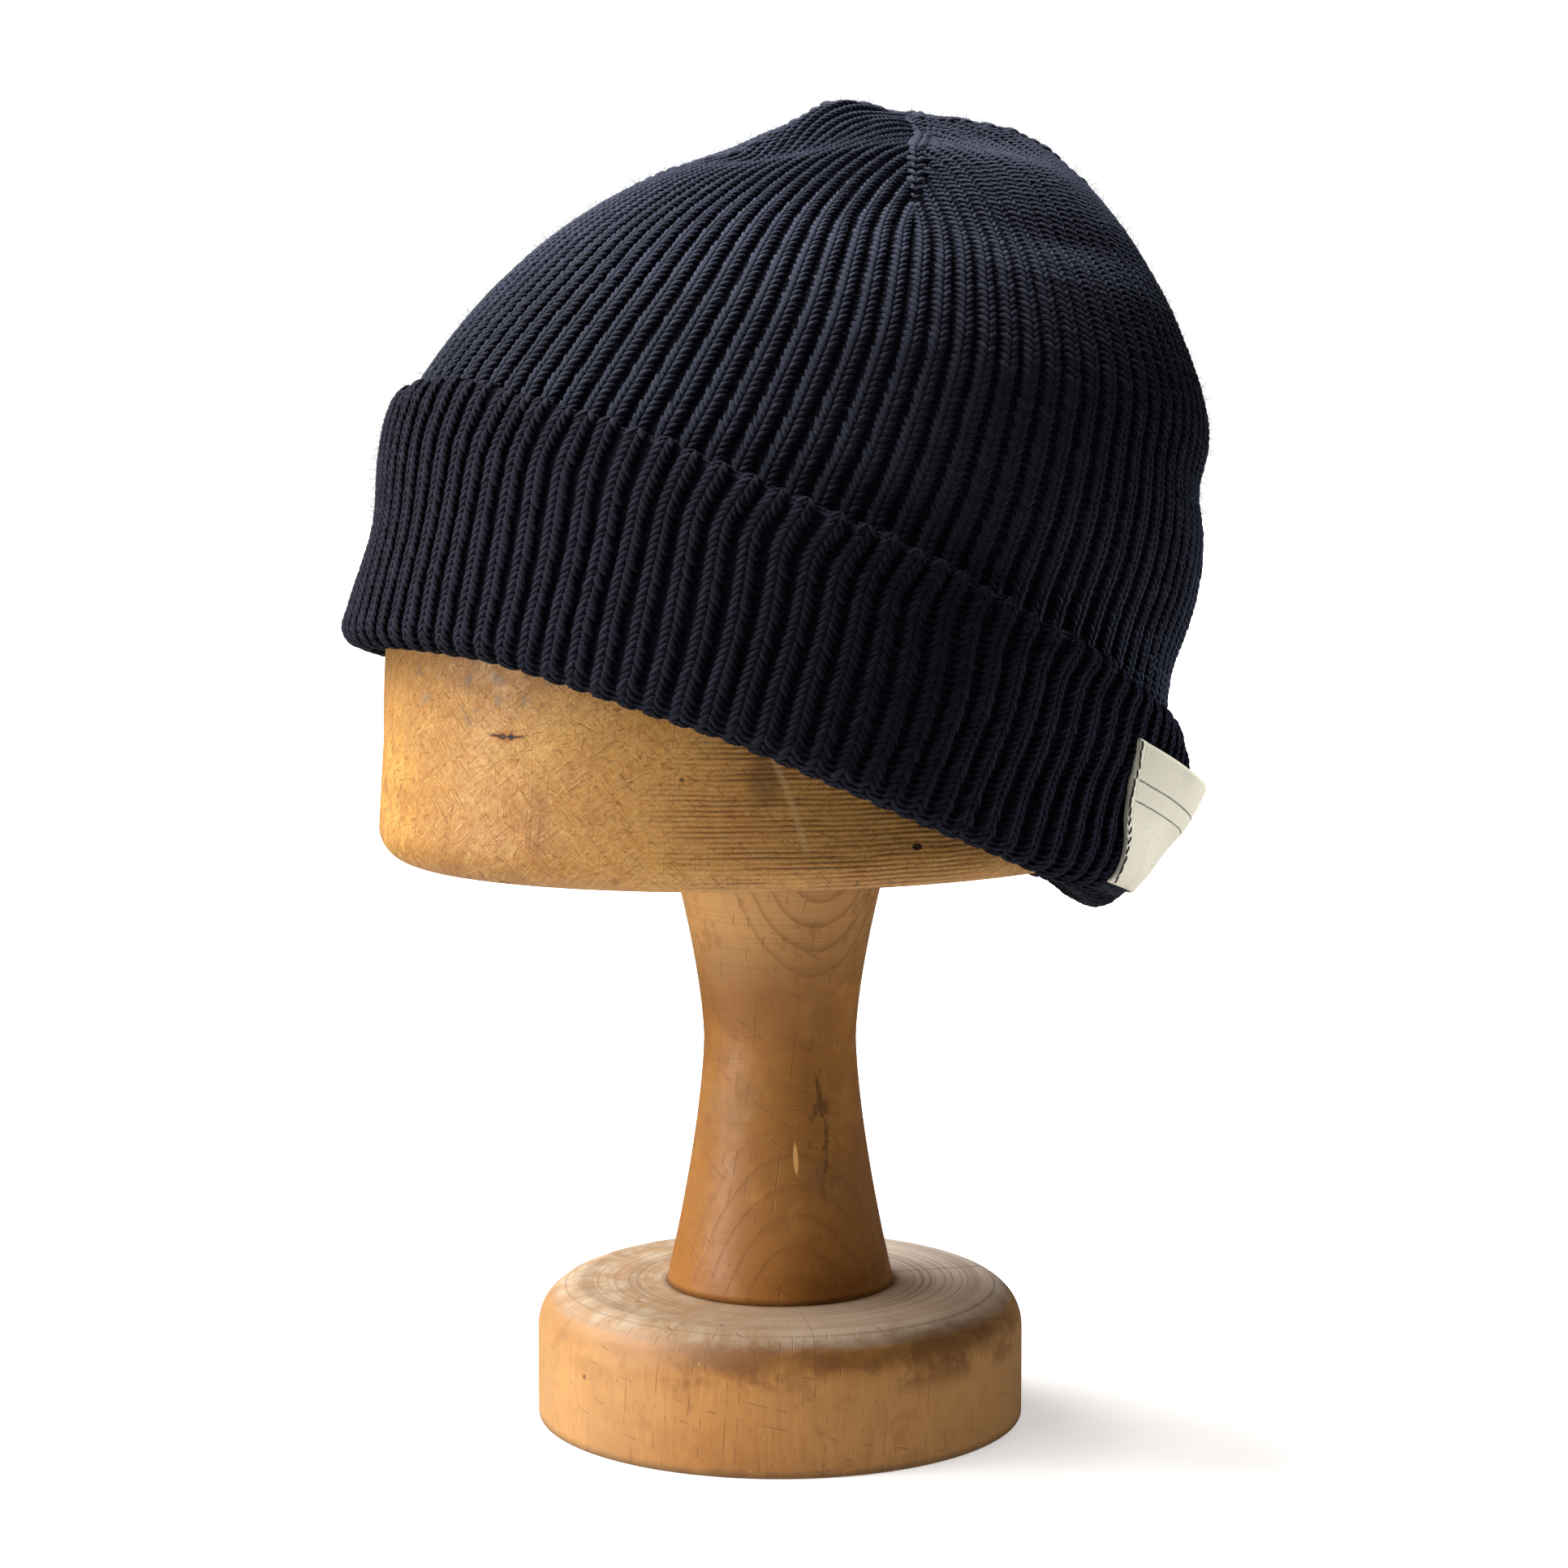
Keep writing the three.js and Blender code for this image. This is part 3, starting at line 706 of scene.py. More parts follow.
def makeStand():
    s = standShape
    baseTop, bevel = s["baseHeight"], s["baseFootBevel"]
    baseProfile = np.vstack([
        [[radius, baseTop] for radius in (0, *s["baseRings"])],
        arc((s["baseRadius"] - s["baseShoulder"], baseTop - s["baseShoulder"]), s["baseShoulder"],
            90, 0, s["shoulderSteps"]),
        [[s["baseRadius"], height] for height in s["baseSideRings"]],
        arc((s["baseRadius"] - bevel, bevel), bevel, 0, -90, s["bevelSteps"]),
        [[s["baseRings"][-1], 0], [0, 0]],
    ])
    base = lathe("stand_foot_wood", baseProfile, baseWood())
    dress(base, "base_wood", "stand_base")

    heights = np.linspace(s["stemLength"], 0, s["stemRings"])
    outside = np.column_stack([stemRadius(heights), heights])
    stemProfile = np.vstack([[[0, s["stemLength"]]], outside, [[0, 0]]])
    stem = lathe("stand_stem_wood", stemProfile, stemWood(), s["baseHeight"])
    dress(stem, "stem_wood", "stand_stem")

    climb = np.sin(np.linspace(np.pi / 2, 0, s["domeRings"]))
    domeHeights = s["domeStart"] + (s["blockHeight"] - s["domeStart"]) * climb
    sideHeights = np.linspace(s["domeStart"], s["blockEdge"], s["sideRings"])[1:-1]
    outer = np.concatenate([domeHeights, sideHeights])
    edgeReach = float(blockReach(np.array(float(s["blockEdge"]))))
    blockProfile = np.vstack([
        np.column_stack([blockReach(outer), outer]),
        arc((edgeReach - s["blockEdge"], s["blockEdge"]), s["blockEdge"], 0, -90, s["edgeSteps"]),
        [[s["blockUnderRing"], 0], [0, 0]],
    ])
    block = lathe("hat_block_wood", blockProfile, blockWood(), blockFloor, s["blockWidthRatio"],
                  s["blockForward"])
    dress(block, "block_wood", "hat_block")
    print("stand turned:", base.name, stem.name, block.name)


makeStand()


# The knit's stitches, in millimetres

stitchLook = {
    "pitch": 1.7, "seamPitch": 3.0,  # along the ribs and along the seams
    "crownWidth": 0.80, "topWidth": 0.55, "cuffWidth": 0.76,  # of the rib's pitch that the V covers
    "relief": 0.85, "cuffRelief": 0.62,  # how far the yarn stands over the ground
    "reliefWidth": 5, "reliefPower": 0.4,  # it stands less on ribs narrower than this
    "topFrom": (5.2, 6.8), "topSink": 0.05,  # rows over which the V's turn narrower, and sink
    "jitter": 0.10,  # how unequal the stitches are
    "twist": 7.0,  # and how far they turn, in degrees
    "seamLoose": 2.2,  # how much more so on the seams
    "seed": 7,
}


# Knit finishes

yarnLook = {
    "crownLight": (0.0335, 0.0356, 0.0545), "crownDark": (0.0175, 0.0183, 0.0300), "crownSheen": 0.18,
    # the cuff's yarn is a darker copy of the crown's yarn: painted shade, as one yarn is knit throughout
    "cuffLight": (0.0190, 0.0197, 0.0335), "cuffDark": (0.0106, 0.0109, 0.0195), "cuffSheen": 0.03,
    # the crown's ground is paler than its yarn: painted light in the shaded ground between the ribs
    "crownGround": ((0.042, 0.0447, 0.067), (0.020, 0.0210, 0.0335)),
    # the cuff's ground is a darker copy of the crown's ground: painted shade
    "cuffGround": ((0.0165, 0.0171, 0.0285), (0.0086, 0.0088, 0.0158)), "groundSheen": 0.12,
    "topFrom": (0.266, 0.296), "topPaintedLight": 1.95,  # heights over which the yarn is painted paler, painted light on the top, and by how much
    "valley": 0.25, "valleyShade": 0.30, "topValleyShade": 0.50,  # painted shade in the valleys between ribs: how dark, how much on the sides, and how much more on the top, where no shade falls
    "sheenTint": (0.50, 0.58, 0.80, 1),
}


def scaled(share, colour):
    return tuple(share * value for value in colour)


def yarn(name, light, dark, sheen):
    f = Finish(name)
    where = f.place()
    tint = f.node("ShaderNodeAttribute", {"attribute_name": "tint"}, output="Fac")
    fibre = f.noise(where, 2600, 2)
    tone = 0.45 * tint + 0.35 * fibre + 0.35 * f.noise(where, 28, 2) - 0.08
    # painted light: the yarn paler on the top of the crown
    paintedTop = f.mix(tone, *(scaled(yarnLook["topPaintedLight"], shade) for shade in (dark, light)))
    colour = f.mix(f.fade(f.parts(where)[2], *yarnLook["topFrom"]), f.mix(tone, dark, light), paintedTop)
    return f.surface(base_color=colour, roughness=0.92, normal=f.bump(fibre, 0.00035), sheen_weight=sheen,
                     sheen_roughness=0.45, sheen_tint=yarnLook["sheenTint"], specular_ior_level=0.15)


def knitGround(name, light, dark):
    # purl rows show between the ribs: flatPlace holds the rib's number and millimetres along it
    f = Finish(name)
    where, flat = f.place(), f.flat()
    fibre = f.noise(where, 1500, 2)
    rib, along = f.parts(flat)[:2]
    uneven = 2.5 * f.noise(f.stretched(flat, (1, 0.3, 1)), detail=2)
    rows = f.wave(along * (2 * math.pi / stitchLook["pitch"]) + uneven)
    # painted shade in the valleys between the ribs, more of it on the top
    valley = f.fade(f.maths("COSINE", rib * (2 * math.pi)), 0.25, 0.95)
    top = f.fade(f.parts(where)[2], *yarnLook["topFrom"])
    cover = yarnLook["valleyShade"] + yarnLook["topValleyShade"] * top
    colour = f.paint(f.mix(0.35 * fibre + 0.65 * rows, dark, light),
                     [(cover, valley, scaled(yarnLook["valley"], dark))])
    return f.surface(base_color=colour, roughness=0.95, normal=f.bump(0.4 * fibre + rows, 0.0005),
                     specular_ior_level=0.1, sheen_weight=yarnLook["groundSheen"], sheen_roughness=0.5,
                     sheen_tint=yarnLook["sheenTint"])


# the cuff's yarn and ground are darker copies of the crown's, painted shade
crownYarn = yarn("navy_yarn", yarnLook["crownLight"], yarnLook["crownDark"], yarnLook["crownSheen"])
cuffYarn = yarn("navy_yarn_painted_shade", yarnLook["cuffLight"], yarnLook["cuffDark"], yarnLook["cuffSheen"])
crownGround = knitGround("knit_ground", *yarnLook["crownGround"])
cuffGround = knitGround("knit_ground_painted_shade", *yarnLook["cuffGround"])


# One V of the knit: two curved legs that meet below, one unit wide and high

legShape = {
    "middle": [(-0.06, -0.92, 0.36), (0.06, -0.50, 0.60), (0.205, 0.0, 0.58), (0.37, 0.45, 0.22),
               (0.52, 0.82, -0.55)],
    "girth": [0.0, 0.88, 1.0, 0.85, 0.0],
    "aside": (-0.085, 0.40, 0.0), "over": (0.03, 0.0, 0.48),  # half of the yarn's breadth, two ways
}


def stitchMesh():
    aside, over = np.array(legShape["aside"]), np.array(legShape["over"])
    points, faces, cells = [], [], []
    for side in (1, -1):
        rings = []
        for middle, share in zip(legShape["middle"], legShape["girth"]):
            around = np.array(middle) + share * np.array([over, aside, -over, -aside])
            around = around if share else around[:1]
            rings.append([len(points) + k % len(around) for k in range(5)])
            points += [(side * x, y, z) for x, y, z in around]
        for k in range(4):
            for j in range(4):
                corners = {}  # the corners of a face and their places in its cell of the baked map
                for u, v in ((j, k), (j + 1, k), (j + 1, k + 1), (j, k + 1)):
                    place = ((u + (0 if side > 0 else 4.5)) / 8.5, v / 4)
                    corners.setdefault(rings[v][u], []).append(place)
                faces.append(list(corners)[::side])
                cells += [np.mean(places, 0) for places in corners.values()][::side]
    mesh = bpy.data.meshes.new("stitch")
    mesh.from_pydata(points, [], faces)
    mesh.polygons.foreach_set("use_smooth", [True] * len(faces))
    return mesh, np.array(cells)


stitchShape, stitchCells = stitchMesh()
stitchObject = pieceFrom("stitch", stitchShape)


def stitchTree():
    tree, given, add = treeOf("stitches along ribs", {"Pitch": "Float", "Jitter": "Float", "Twist": "Float"})

    def between(low, high):
        return add("FunctionNodeRandomValue", {"data_type": "FLOAT"}, {2: low, 3: high, "Seed": given["Seed"]}, 1)

    def maths(operation, left, right):
        return add("ShaderNodeMath", {"operation": operation}, {0: left, 1: right})

    ribs = add("GeometryNodeMeshToCurve", {}, {"Mesh": given["Geometry"]})
    spaced = add("GeometryNodeResampleCurve", {"mode": "LENGTH"}, {"Curve": ribs, "Length": given["Pitch"]})
    normal, size = (add("GeometryNodeInputNamedAttribute", {"data_type": "FLOAT_VECTOR"}, {"Name": name})
                    for name in ("ribNormal", "stitchSize"))
    along = add("GeometryNodeInputTangent")
    turn = add("FunctionNodeAxesToRotation", {"primary_axis": "Z", "secondary_axis": "Y"},
               {"Primary Axis": normal, "Secondary Axis": along})
    swing = between(maths("MULTIPLY", given["Twist"], -1.0), given["Twist"])
    spin = add("FunctionNodeAxisAngleToRotation", {}, {"Axis": (0.0, 0.0, 1.0), "Angle": swing})
    turned = add("FunctionNodeRotateRotation", {"rotation_space": "LOCAL"}, {"Rotation": turn, "Rotate By": spin})
    uneven = between(maths("SUBTRACT", 1.0, given["Jitter"]), maths("ADD", 1.0, given["Jitter"]))
    scale = add("ShaderNodeVectorMath", {"operation": "SCALE"}, {0: size, "Scale": uneven})
    placed = strew(given, add, spaced, turned, scale)
    toned = add("GeometryNodeStoreNamedAttribute", {"data_type": "FLOAT", "domain": "INSTANCE"},
                {"Geometry": placed, "Name": "tint", "Value": between(0.0, 1.0)})
    endTree(given, add, toned)
    return tree


stitchesAlongRibs = stitchTree()


def ribPaths(name, paths):
    # paths: a list of (points, normals, sizes), one for each rib, in millimetres
    mesh = bpy.data.meshes.new(name)
    points, normals, sizes = (np.vstack(values) for values in zip(*paths))
    starts = np.cumsum([0] + [len(path[0]) for path in paths])
    edges = [(k, k + 1) for a, b in zip(starts[:-1], starts[1:]) for k in range(a, b - 1)]
    mesh.from_pydata((points * mm).tolist(), edges, [])
    storeVectors(mesh, "ribNormal", normals)
    storeVectors(mesh, "stitchSize", sizes * mm)
    return pieceFrom(name + "_paths", mesh)


def bakeCells(piece, cells):
    # each copy of a small shape has its own cell of the map that colours are baked on
    margin = 0.06
    count = len(piece.data.loops) // len(cells)
    across = math.ceil(math.sqrt(count))
    cell = np.arange(count)
    corner = np.stack([cell % across, cell // across], 1)[:, None, :]
    layer = piece.data.uv_layers.new(name="OFBake")
    places = (corner + margin + (1 - 2 * margin) * cells[None]) / across
    layer.data.foreach_set("uv", places.ravel().astype(np.float32))
    return count


def sewn(name, paths, shape, material, pitch, seed=0, loose=0.0):
    # copies of a shape along paths, more or less even
    return runTree(name, stitchesAlongRibs, ribPaths(name, paths), {
        "Shape": shape, "Pitch": pitch * mm, "Jitter": loose * stitchLook["jitter"],
        "Twist": loose * math.radians(stitchLook["twist"]), "Seed": seed, "Material": material,
    })


def knitStitches(name, paths, yarnMaterial, seed, pitch, loose=1.0):
    piece = sewn(name, paths, stitchObject, yarnMaterial, pitch, stitchLook["seed"] + seed, loose)
    count = bakeCells(piece, stitchCells)
    dress(piece, "navy_knit")
    print("stitches:", name, count)


# The crown: a ribbed wall with its hidden foot and its inner face, and the stitches on its ribs

ribLook = {
    "columns": 6, "crest": 0.10, "crownValley": -1.0, "cuffValley": -1.1, "seamShare": 0.6,
    "topFrom": (5.5, 7.0), "topDepth": 1.45,  # rows over which the ribs turn deeper, and by how much
}
crownLook = {  # rows of the rings
    "outer": np.linspace(8.93, 2.0, 74),
    "hidden": (1.86, 1.4, 1.0, 0.5, 0.24),
    "inner": (0.24, 0.5, 0.75, 1, 1.4, 2, 2.9, 3.65, 4.6, 5.5, 6.3, 7, 7.7, 8.4, 8.9),
    "stitched": (1.9, 8.9, 240), "courseShift": (0.1, 0.37),  # and of the stitches, out of step by rib
}
seamLook = {
    "width": 5.0, "height": 2.6, "relief": 1.25, "clear": 0.05, "start": 0.96, "taper": 0.5, "taperRows": 0.3,
    "end": 8.93, "steps": 120,
}
ringSteps = np.arange(-halfQuarter, halfQuarter, 1 / ribLook["columns"])
ringQuarters = np.repeat(np.arange(capShape["quarters"]), len(ringSteps))
ringSteps = np.tile(ringSteps, capShape["quarters"])


def ribHeight(held, beside, row, valley):
    share = np.minimum(1, ribPitch(row, beside) / (fullGirth / ribCount))
    swell = 0.5 - 0.5 * np.cos(2 * np.pi * held)
    seam = smooth(beside - np.abs(held), 0, ribLook["seamShare"])
    swell = swell * np.where(beside < halfQuarter, seam, 1)
    depth = 1 + (ribLook["topDepth"] - 1) * smooth(np.asarray(row, float), *ribLook["topFrom"])
    return share * depth * (valley + (ribLook["crest"] - valley) * swell)


def ribbedRing(row, out):
    angle, held, beside = ribPlace(ringQuarters, ringSteps, row)
    return knitPoint(angle, row, out + ribHeight(held, beside, row, ribLook["crownValley"]))


def plainRing(row, out):
    return knitPoint(ribPlace(ringQuarters, ringSteps, row)[0], row, out)


def poleRing(out):
    top = loftPoint(np.zeros(1), np.full(1, float(lastRow))) + [0, 0, blockFloor + out]
    return np.repeat(top, len(ringSteps), 0)


def stitchPath(angle, rows, out, width):
    look = stitchLook
    top = smooth(rows, *look["topFrom"])
    relief = look["relief"] * np.minimum(1, width / look["reliefWidth"]) ** look["reliefPower"]
    cover = look["crownWidth"] + (look["topWidth"] - look["crownWidth"]) * top
    size = np.stack([width * cover, 0 * width + look["pitch"], relief], 1)
    return knitPoint(angle, rows, out - look["topSink"] * top), loftNormal(angle, rows), size


def seamPath(quarter, start):
    look = seamLook
    rows = np.linspace(start, look["end"], look["steps"])
    grown = look["taper"] + (1 - look["taper"]) * smooth(rows, start, start + look["taperRows"])
    angle = ribPlace(quarter, -halfQuarter, rows)[0]
    size = grown[:, None] * [look["width"], look["height"], look["relief"]]
    return knitPoint(angle, rows, capShape["wall"]), loftNormal(angle, rows), size


def ribMarks(rings):
    # the rib's number and the mean length of knit from the first ring
    lengths = np.linalg.norm(np.diff(rings, axis=0), axis=-1).mean(1)
    along = np.concatenate([[0], np.cumsum(lengths)])
    return np.stack(np.broadcast_arrays(ringSteps[None, :], along[:, None], 0.0), -1)


def makeCrown():
    wall = capShape["wall"]
    outer = [ribbedRing(row, wall) for row in crownLook["outer"]]
    hidden = [plainRing(row, wall) for row in crownLook["hidden"]]
    inner = [plainRing(row, 0) for row in crownLook["inner"]]
    rings = np.stack([poleRing(wall), *outer, *hidden, *inner, poleRing(0)])
    crown = skin("crown_knit", rings, crownGround, marks=ribMarks(rings))
    dress(crown, "navy_knit", "cap_crown")

    seamStart = float(np.interp(-seamLook["start"], -ribsBeside(girthRows) / halfQuarter, girthRows))
    firstRow, endRow, steps = crownLook["stitched"]
    shift, stagger = crownLook["courseShift"]
    seams = []
    for quarter in range(capShape["quarters"]):
        paths = []
        for step in ribSteps:
            rows = np.linspace(firstRow - shift * (stagger * step % 1), endRow, steps)
            left = ribsBeside(rows)
            rows = rows[(left >= halfQuarter) | (left > abs(step) + seamLook["clear"])]
            angle, _, beside = ribPlace(quarter, step, rows)
            paths.append(stitchPath(angle, rows, wall + ribLook["crest"], ribPitch(rows, beside)))
        knitStitches(f"crown_stitches_{quarter + 1}", paths, crownYarn, quarter, stitchLook["pitch"])
        seams.append(seamPath(quarter, seamStart))
    # a raised chain where two quarters meet
    knitStitches("crown_seams", seams, crownYarn, 5, stitchLook["seamPitch"], stitchLook["seamLoose"])


makeCrown()


# The cuff: turned up, with a round fold at the rim and a thick rolled top edge

labelShape = {
    "fromAngle": 54, "toAngle": 23, "slant": 5.5,  # the near edge leans by slant degrees to its top
    "footRise": (0.035, 0.10), "topRise": (0.70, 0.585),  # at the near and the far short edge
    "stand": 0.55, "gape": 4.8, "bow": 0.022, "ripple": 0.20, "thick": 0.55, "hem": 3.0, "hemThick": 0.22,
    "width": 60.0, "height": 37.5, "columns": 64, "rows": 40,
    "rules": (0.74, 0.60), "ruleEnds": (3.4, 56.0),  # the plain lines: shares of the height, and their ends
    "thread": (0.50, 2.6, 0.42), "threadPitch": 2.3, "threadLift": 0.24,
    "threadFrom": 0.045, "threadInset": (1.15, 1.2), "threadSteps": 60,
}

cuffShape = {
    # from inside the rolled top edge, down the outside, to inside the fold at the rim
    "rise": [0.955, 0.995, 1.02, 1.01, 0.955, 0.87, 0.5, 0.14, 0.045, 0.0, 0.015, 0.06],
    "out": [4.2, 4.9, 6.4, 8.1, 8.8, 8.3, 7.5, 7.7, 7.3, 4.8, 1.4, 0],
    "height": 60,
    "insideRise": [0.11, 0.11, 0.25, 0.5, 0.7, 0.9],
    "edgeSkew": -1.7,  # degrees that the ribs lean at the rolled edge
    "rimAngle": [0, 10, 20, 30, 45, 68, 90, 118, 130, 155, 190, 215, 260, 300, 330, 360],
    "rimShift": [3, 0.5, -1.5, -2.2, -2.5, -2.5, -1.2, 1.5, 1.5, 2.0, -3.0, -2.5, 0, 1.5, 3, 3],  # of the fold
    "edgeAngle": [0, 30, 60, 90, 160, 190, 210, 235, 270, 360],
    "edgeShift": [-1.5, -2.6, -1.2, 0, 0, -1.6, -2.6, -1.6, 0, -1.5],  # and of the rolled edge, upwards
    "lobes": {  # swellings and hollows (negative) of the turned-up knit
        "angle": [30, 38, 210, 206, 118, 96, 146, 75, 28, 212],
        "rise": [0.78, 0.30, 0.45, 0.06, 0.93, 0.92, 0.95, 0.94, 1.0, 1.0],
        "depth": [2.2, -2.8, -2.4, 0.7, 0.6, -0.5, -0.5, 0.5, -1.6, -1.3],
        "angleSpread": [34, 34, 36, 34, 8, 6, 6, 7, 32, 30],
        "riseSpread": [0.22, 0.19, 0.22, 0.10, 0.10, 0.10, 0.10, 0.10, 0.09, 0.09],
    },
    "fineSteps": 400, "rings": 50, "endRings": 4,  # the ribs fade out over the end rings
    "stitchSteps": 100, "stitched": slice(4, -7), "ribStretch": 1.06,
    "pressedRibs": 0.75, "pressedYarn": 0.4, "pressedRelief": 0.7,  # how far the label flattens the knit
}


def cuffSwell(angle, rise):
    return lobes(cuffShape["lobes"], angle, rise)


def cuffPlace(angle, rise):
    # the rib's lean at the rolled edge and the uneven hang of the fold
    c = cuffShape

    def ripple(times, start=0.0):
        return np.sin(np.radians(angle * times + start))

    def shift(name):
        return np.interp(np.mod(angle, 360), c[name + "Angle"], c[name + "Shift"]) / c["height"]

    loose = 1 + 0.35 * ripple(7) + 0.15 * ripple(29, 40)
    sway = 0.22 * ripple(13, 320 * rise) * smooth(rise, 0.08, 0.3)
    lean = angle + c["edgeSkew"] * smooth(rise, 0.74, 1.03) * loose + sway
    hang = shift("rim") * (1 - smooth(rise, 0.0, 0.45))
    edge = shift("edge") * smooth(rise, 0.6, 1.0)
    wave = (0.011 * ripple(11) + 0.010 * ripple(37, 60)) * smooth(rise, 0.85, 1.0)
    return lean, (rise + hang + edge + wave) * capShape["cuffTopRow"]


def cuffPath(count):
    # the outside of the cuff from inside its top edge to inside the fold, as rise and out
    c = cuffShape
    through = np.column_stack([np.array(c["rise"]) * c["height"], c["out"], 0 * np.array(c["out"])])
    fine = curveThrough(through, np.linspace(0, 1, c["fineSteps"]))
    length = np.concatenate([[0], np.cumsum(np.linalg.norm(np.diff(fine, axis=0), axis=1))])
    even = np.linspace(0, length[-1], count)
    return np.interp(even, length, fine[:, 0]) / c["height"], np.interp(even, length, fine[:, 1])


def labelRise(share):  # rises of the tape's foot and top at a share of its width
    return [near + (far - near) * share for near, far in (labelShape["footRise"], labelShape["topRise"])]


def labelTurn(share):
    return labelShape["fromAngle"] + (labelShape["toAngle"] - labelShape["fromAngle"]) * share


def underLabel(angle, rise):  # 1 where the tape presses on the ribs
    s = labelShape
    angle = np.mod(angle, 360)
    across = smooth(angle, s["toAngle"] - 3, s["toAngle"])
    across = across * (1 - smooth(angle, s["fromAngle"] - 1.5, s["fromAngle"] + 1.5))
    foot, top = labelRise((angle - s["fromAngle"]) / (s["toAngle"] - s["fromAngle"]))
    return across * smooth(rise, foot - 0.06, foot) * (1 - smooth(rise, top, top + 0.05))


def cuffRing(rise, out, ribShare):
    angle, held, beside = ribPlace(ringQuarters, ringSteps, 0.0)
    swell = cuffSwell(angle, rise) * (ribShare > 0)
    valley = ribLook["cuffValley"] * (1 - cuffShape["pressedRibs"] * underLabel(angle, rise))
    lean, row = cuffPlace(angle, rise)
    return knitPoint(lean, row, out + swell + ribShare * ribHeight(held, beside, 0.0, valley))


def cuffRib(quarter, step, rises, outs):
    # the path of the stitches on one rib
    angle = ribPlace(quarter, step, 0.0)[0] + 0 * rises
    lean, row = cuffPlace(angle, rises)
    press = underLabel(angle, rises)
    stand = ribLook["crest"] - cuffShape["pressedYarn"] * press
    points = knitPoint(lean, row, outs + cuffSwell(angle, rises) + stand)
    side = loftPoint(lean + 0.5, row) - loftPoint(lean - 0.5, row)
    normal = np.cross(side, np.gradient(points, axis=0))
    normal /= np.linalg.norm(normal, axis=1, keepdims=True)
    width = fullGirth / ribCount * cuffShape["ribStretch"] * stitchLook["cuffWidth"]
    relief = stitchLook["cuffRelief"] * (1 - cuffShape["pressedRelief"] * press)
    return points, normal, np.stack(np.broadcast_arrays(width, stitchLook["pitch"], relief), 1)


def makeCuff():
    c = cuffShape
    inside = capShape["wall"] + capShape["layerGap"]
    count = np.arange(c["rings"])
    ends = smooth(count, 0, c["endRings"]) * smooth(c["rings"] - 1 - count, 0, c["endRings"])
    outer = [cuffRing(*ring) for ring in zip(*cuffPath(c["rings"]), ends)]
    insideOut = [0] + [inside] * (len(c["insideRise"]) - 1)
    inner = [cuffRing(rise, out, 0) for rise, out in zip(c["insideRise"], insideOut)]
    rings = np.stack(outer + inner)
    cuff = skin("cuff_knit", rings, cuffGround, closed=True, marks=ribMarks(rings))
    dress(cuff, "navy_knit", "cap_cuff")

    rises, outs = (values[c["stitched"]] for values in cuffPath(c["stitchSteps"]))
    for half in range(2):
        paths = [cuffRib(quarter, step, rises, outs) for quarter in (2 * half, 2 * half + 1) for step in ribSteps]
        knitStitches(f"cuff_stitches_{half + 1}", paths, cuffYarn, 10 + half, stitchLook["pitch"])


makeCuff()
bpy.data.objects.remove(stitchObject)


# Loose fibres: fine bent hairs strewn over the knit

fuzzLook = {
    "crownCount": 4600, "cuffCount": 3000, "length": 3.2, "thick": 0.05, "lean": 62.0, "seed": 31,
    "crownRows": np.linspace(8.6, 2.1, 40), "crownOut": 0.5, "cuffSteps": 40, "cuffStrewn": slice(3, -6),
    "cuffRibs": 0.02, "middle": (0.12, 0.05, 0.55), "tip": (0.45, -0.08, 0.9), "taper": 0.8,  # of a hair
}


def hairMesh():
    # three sides, bent at the middle and drawn to a point, one unit long
    turns = np.radians([90, 210, 330])
    look = fuzzLook
    ring = look["thick"] / look["length"] * np.stack([np.cos(turns), np.sin(turns), 0 * turns], 1)
    points = np.vstack([ring, look["taper"] * ring + look["middle"], [look["tip"]]])
    lower = [[k, (k + 1) % 3, (k + 1) % 3 + 3, k + 3] for k in range(3)]
    upper = [[k + 3, (k + 1) % 3 + 3, 6] for k in range(3)]
    mesh = bpy.data.meshes.new("hair")
    mesh.from_pydata(points.tolist(), [], [[2, 1, 0]] + lower + upper)
    cells = [(0.9, 0.9), (0.95, 0.95), (0.95, 0.9)]
    for k in range(3):
        cells += [(k / 3, 0), ((k + 1) / 3, 0), ((k + 1) / 3, 0.5), (k / 3, 0.5)]
    for k in range(3):
        cells += [(k / 3, 0.5), ((k + 1) / 3, 0.5), ((k + 0.5) / 3, 0.85)]
    return mesh, np.array(cells)


def fuzzTree():
    tree, given, add = treeOf("loose fibres", {"Density": "Float", "Length": "Float", "Lean": "Float"})
    seed, lean, length = given["Seed"], given["Lean"], given["Length"]
    spots = add("GeometryNodeDistributePointsOnFaces", {},
                {"Mesh": given["Geometry"], "Density": given["Density"], "Seed": seed}, "Points")
    back = add("ShaderNodeMath", {"operation": "MULTIPLY"}, {0: lean, 1: -1.0})
    low = add("ShaderNodeCombineXYZ", {}, {0: back, 1: back, 2: -math.pi})
    high = add("ShaderNodeCombineXYZ", {}, {0: lean, 1: lean, 2: math.pi})
    tilt = add("FunctionNodeRandomValue", {"data_type": "FLOAT_VECTOR"}, {0: low, 1: high, "Seed": seed})
    turned = add("FunctionNodeRotateRotation", {"rotation_space": "LOCAL"},
                 {"Rotation": spots.node.outputs["Rotation"], "Rotate By": tilt})
    shorter = add("ShaderNodeMath", {"operation": "MULTIPLY"}, {0: length, 1: 0.5})
    size = add("FunctionNodeRandomValue", {"data_type": "FLOAT"}, {2: shorter, 3: length, "Seed": seed}, 1)
    endTree(given, add, strew(given, add, spots, turned, size))
    return tree


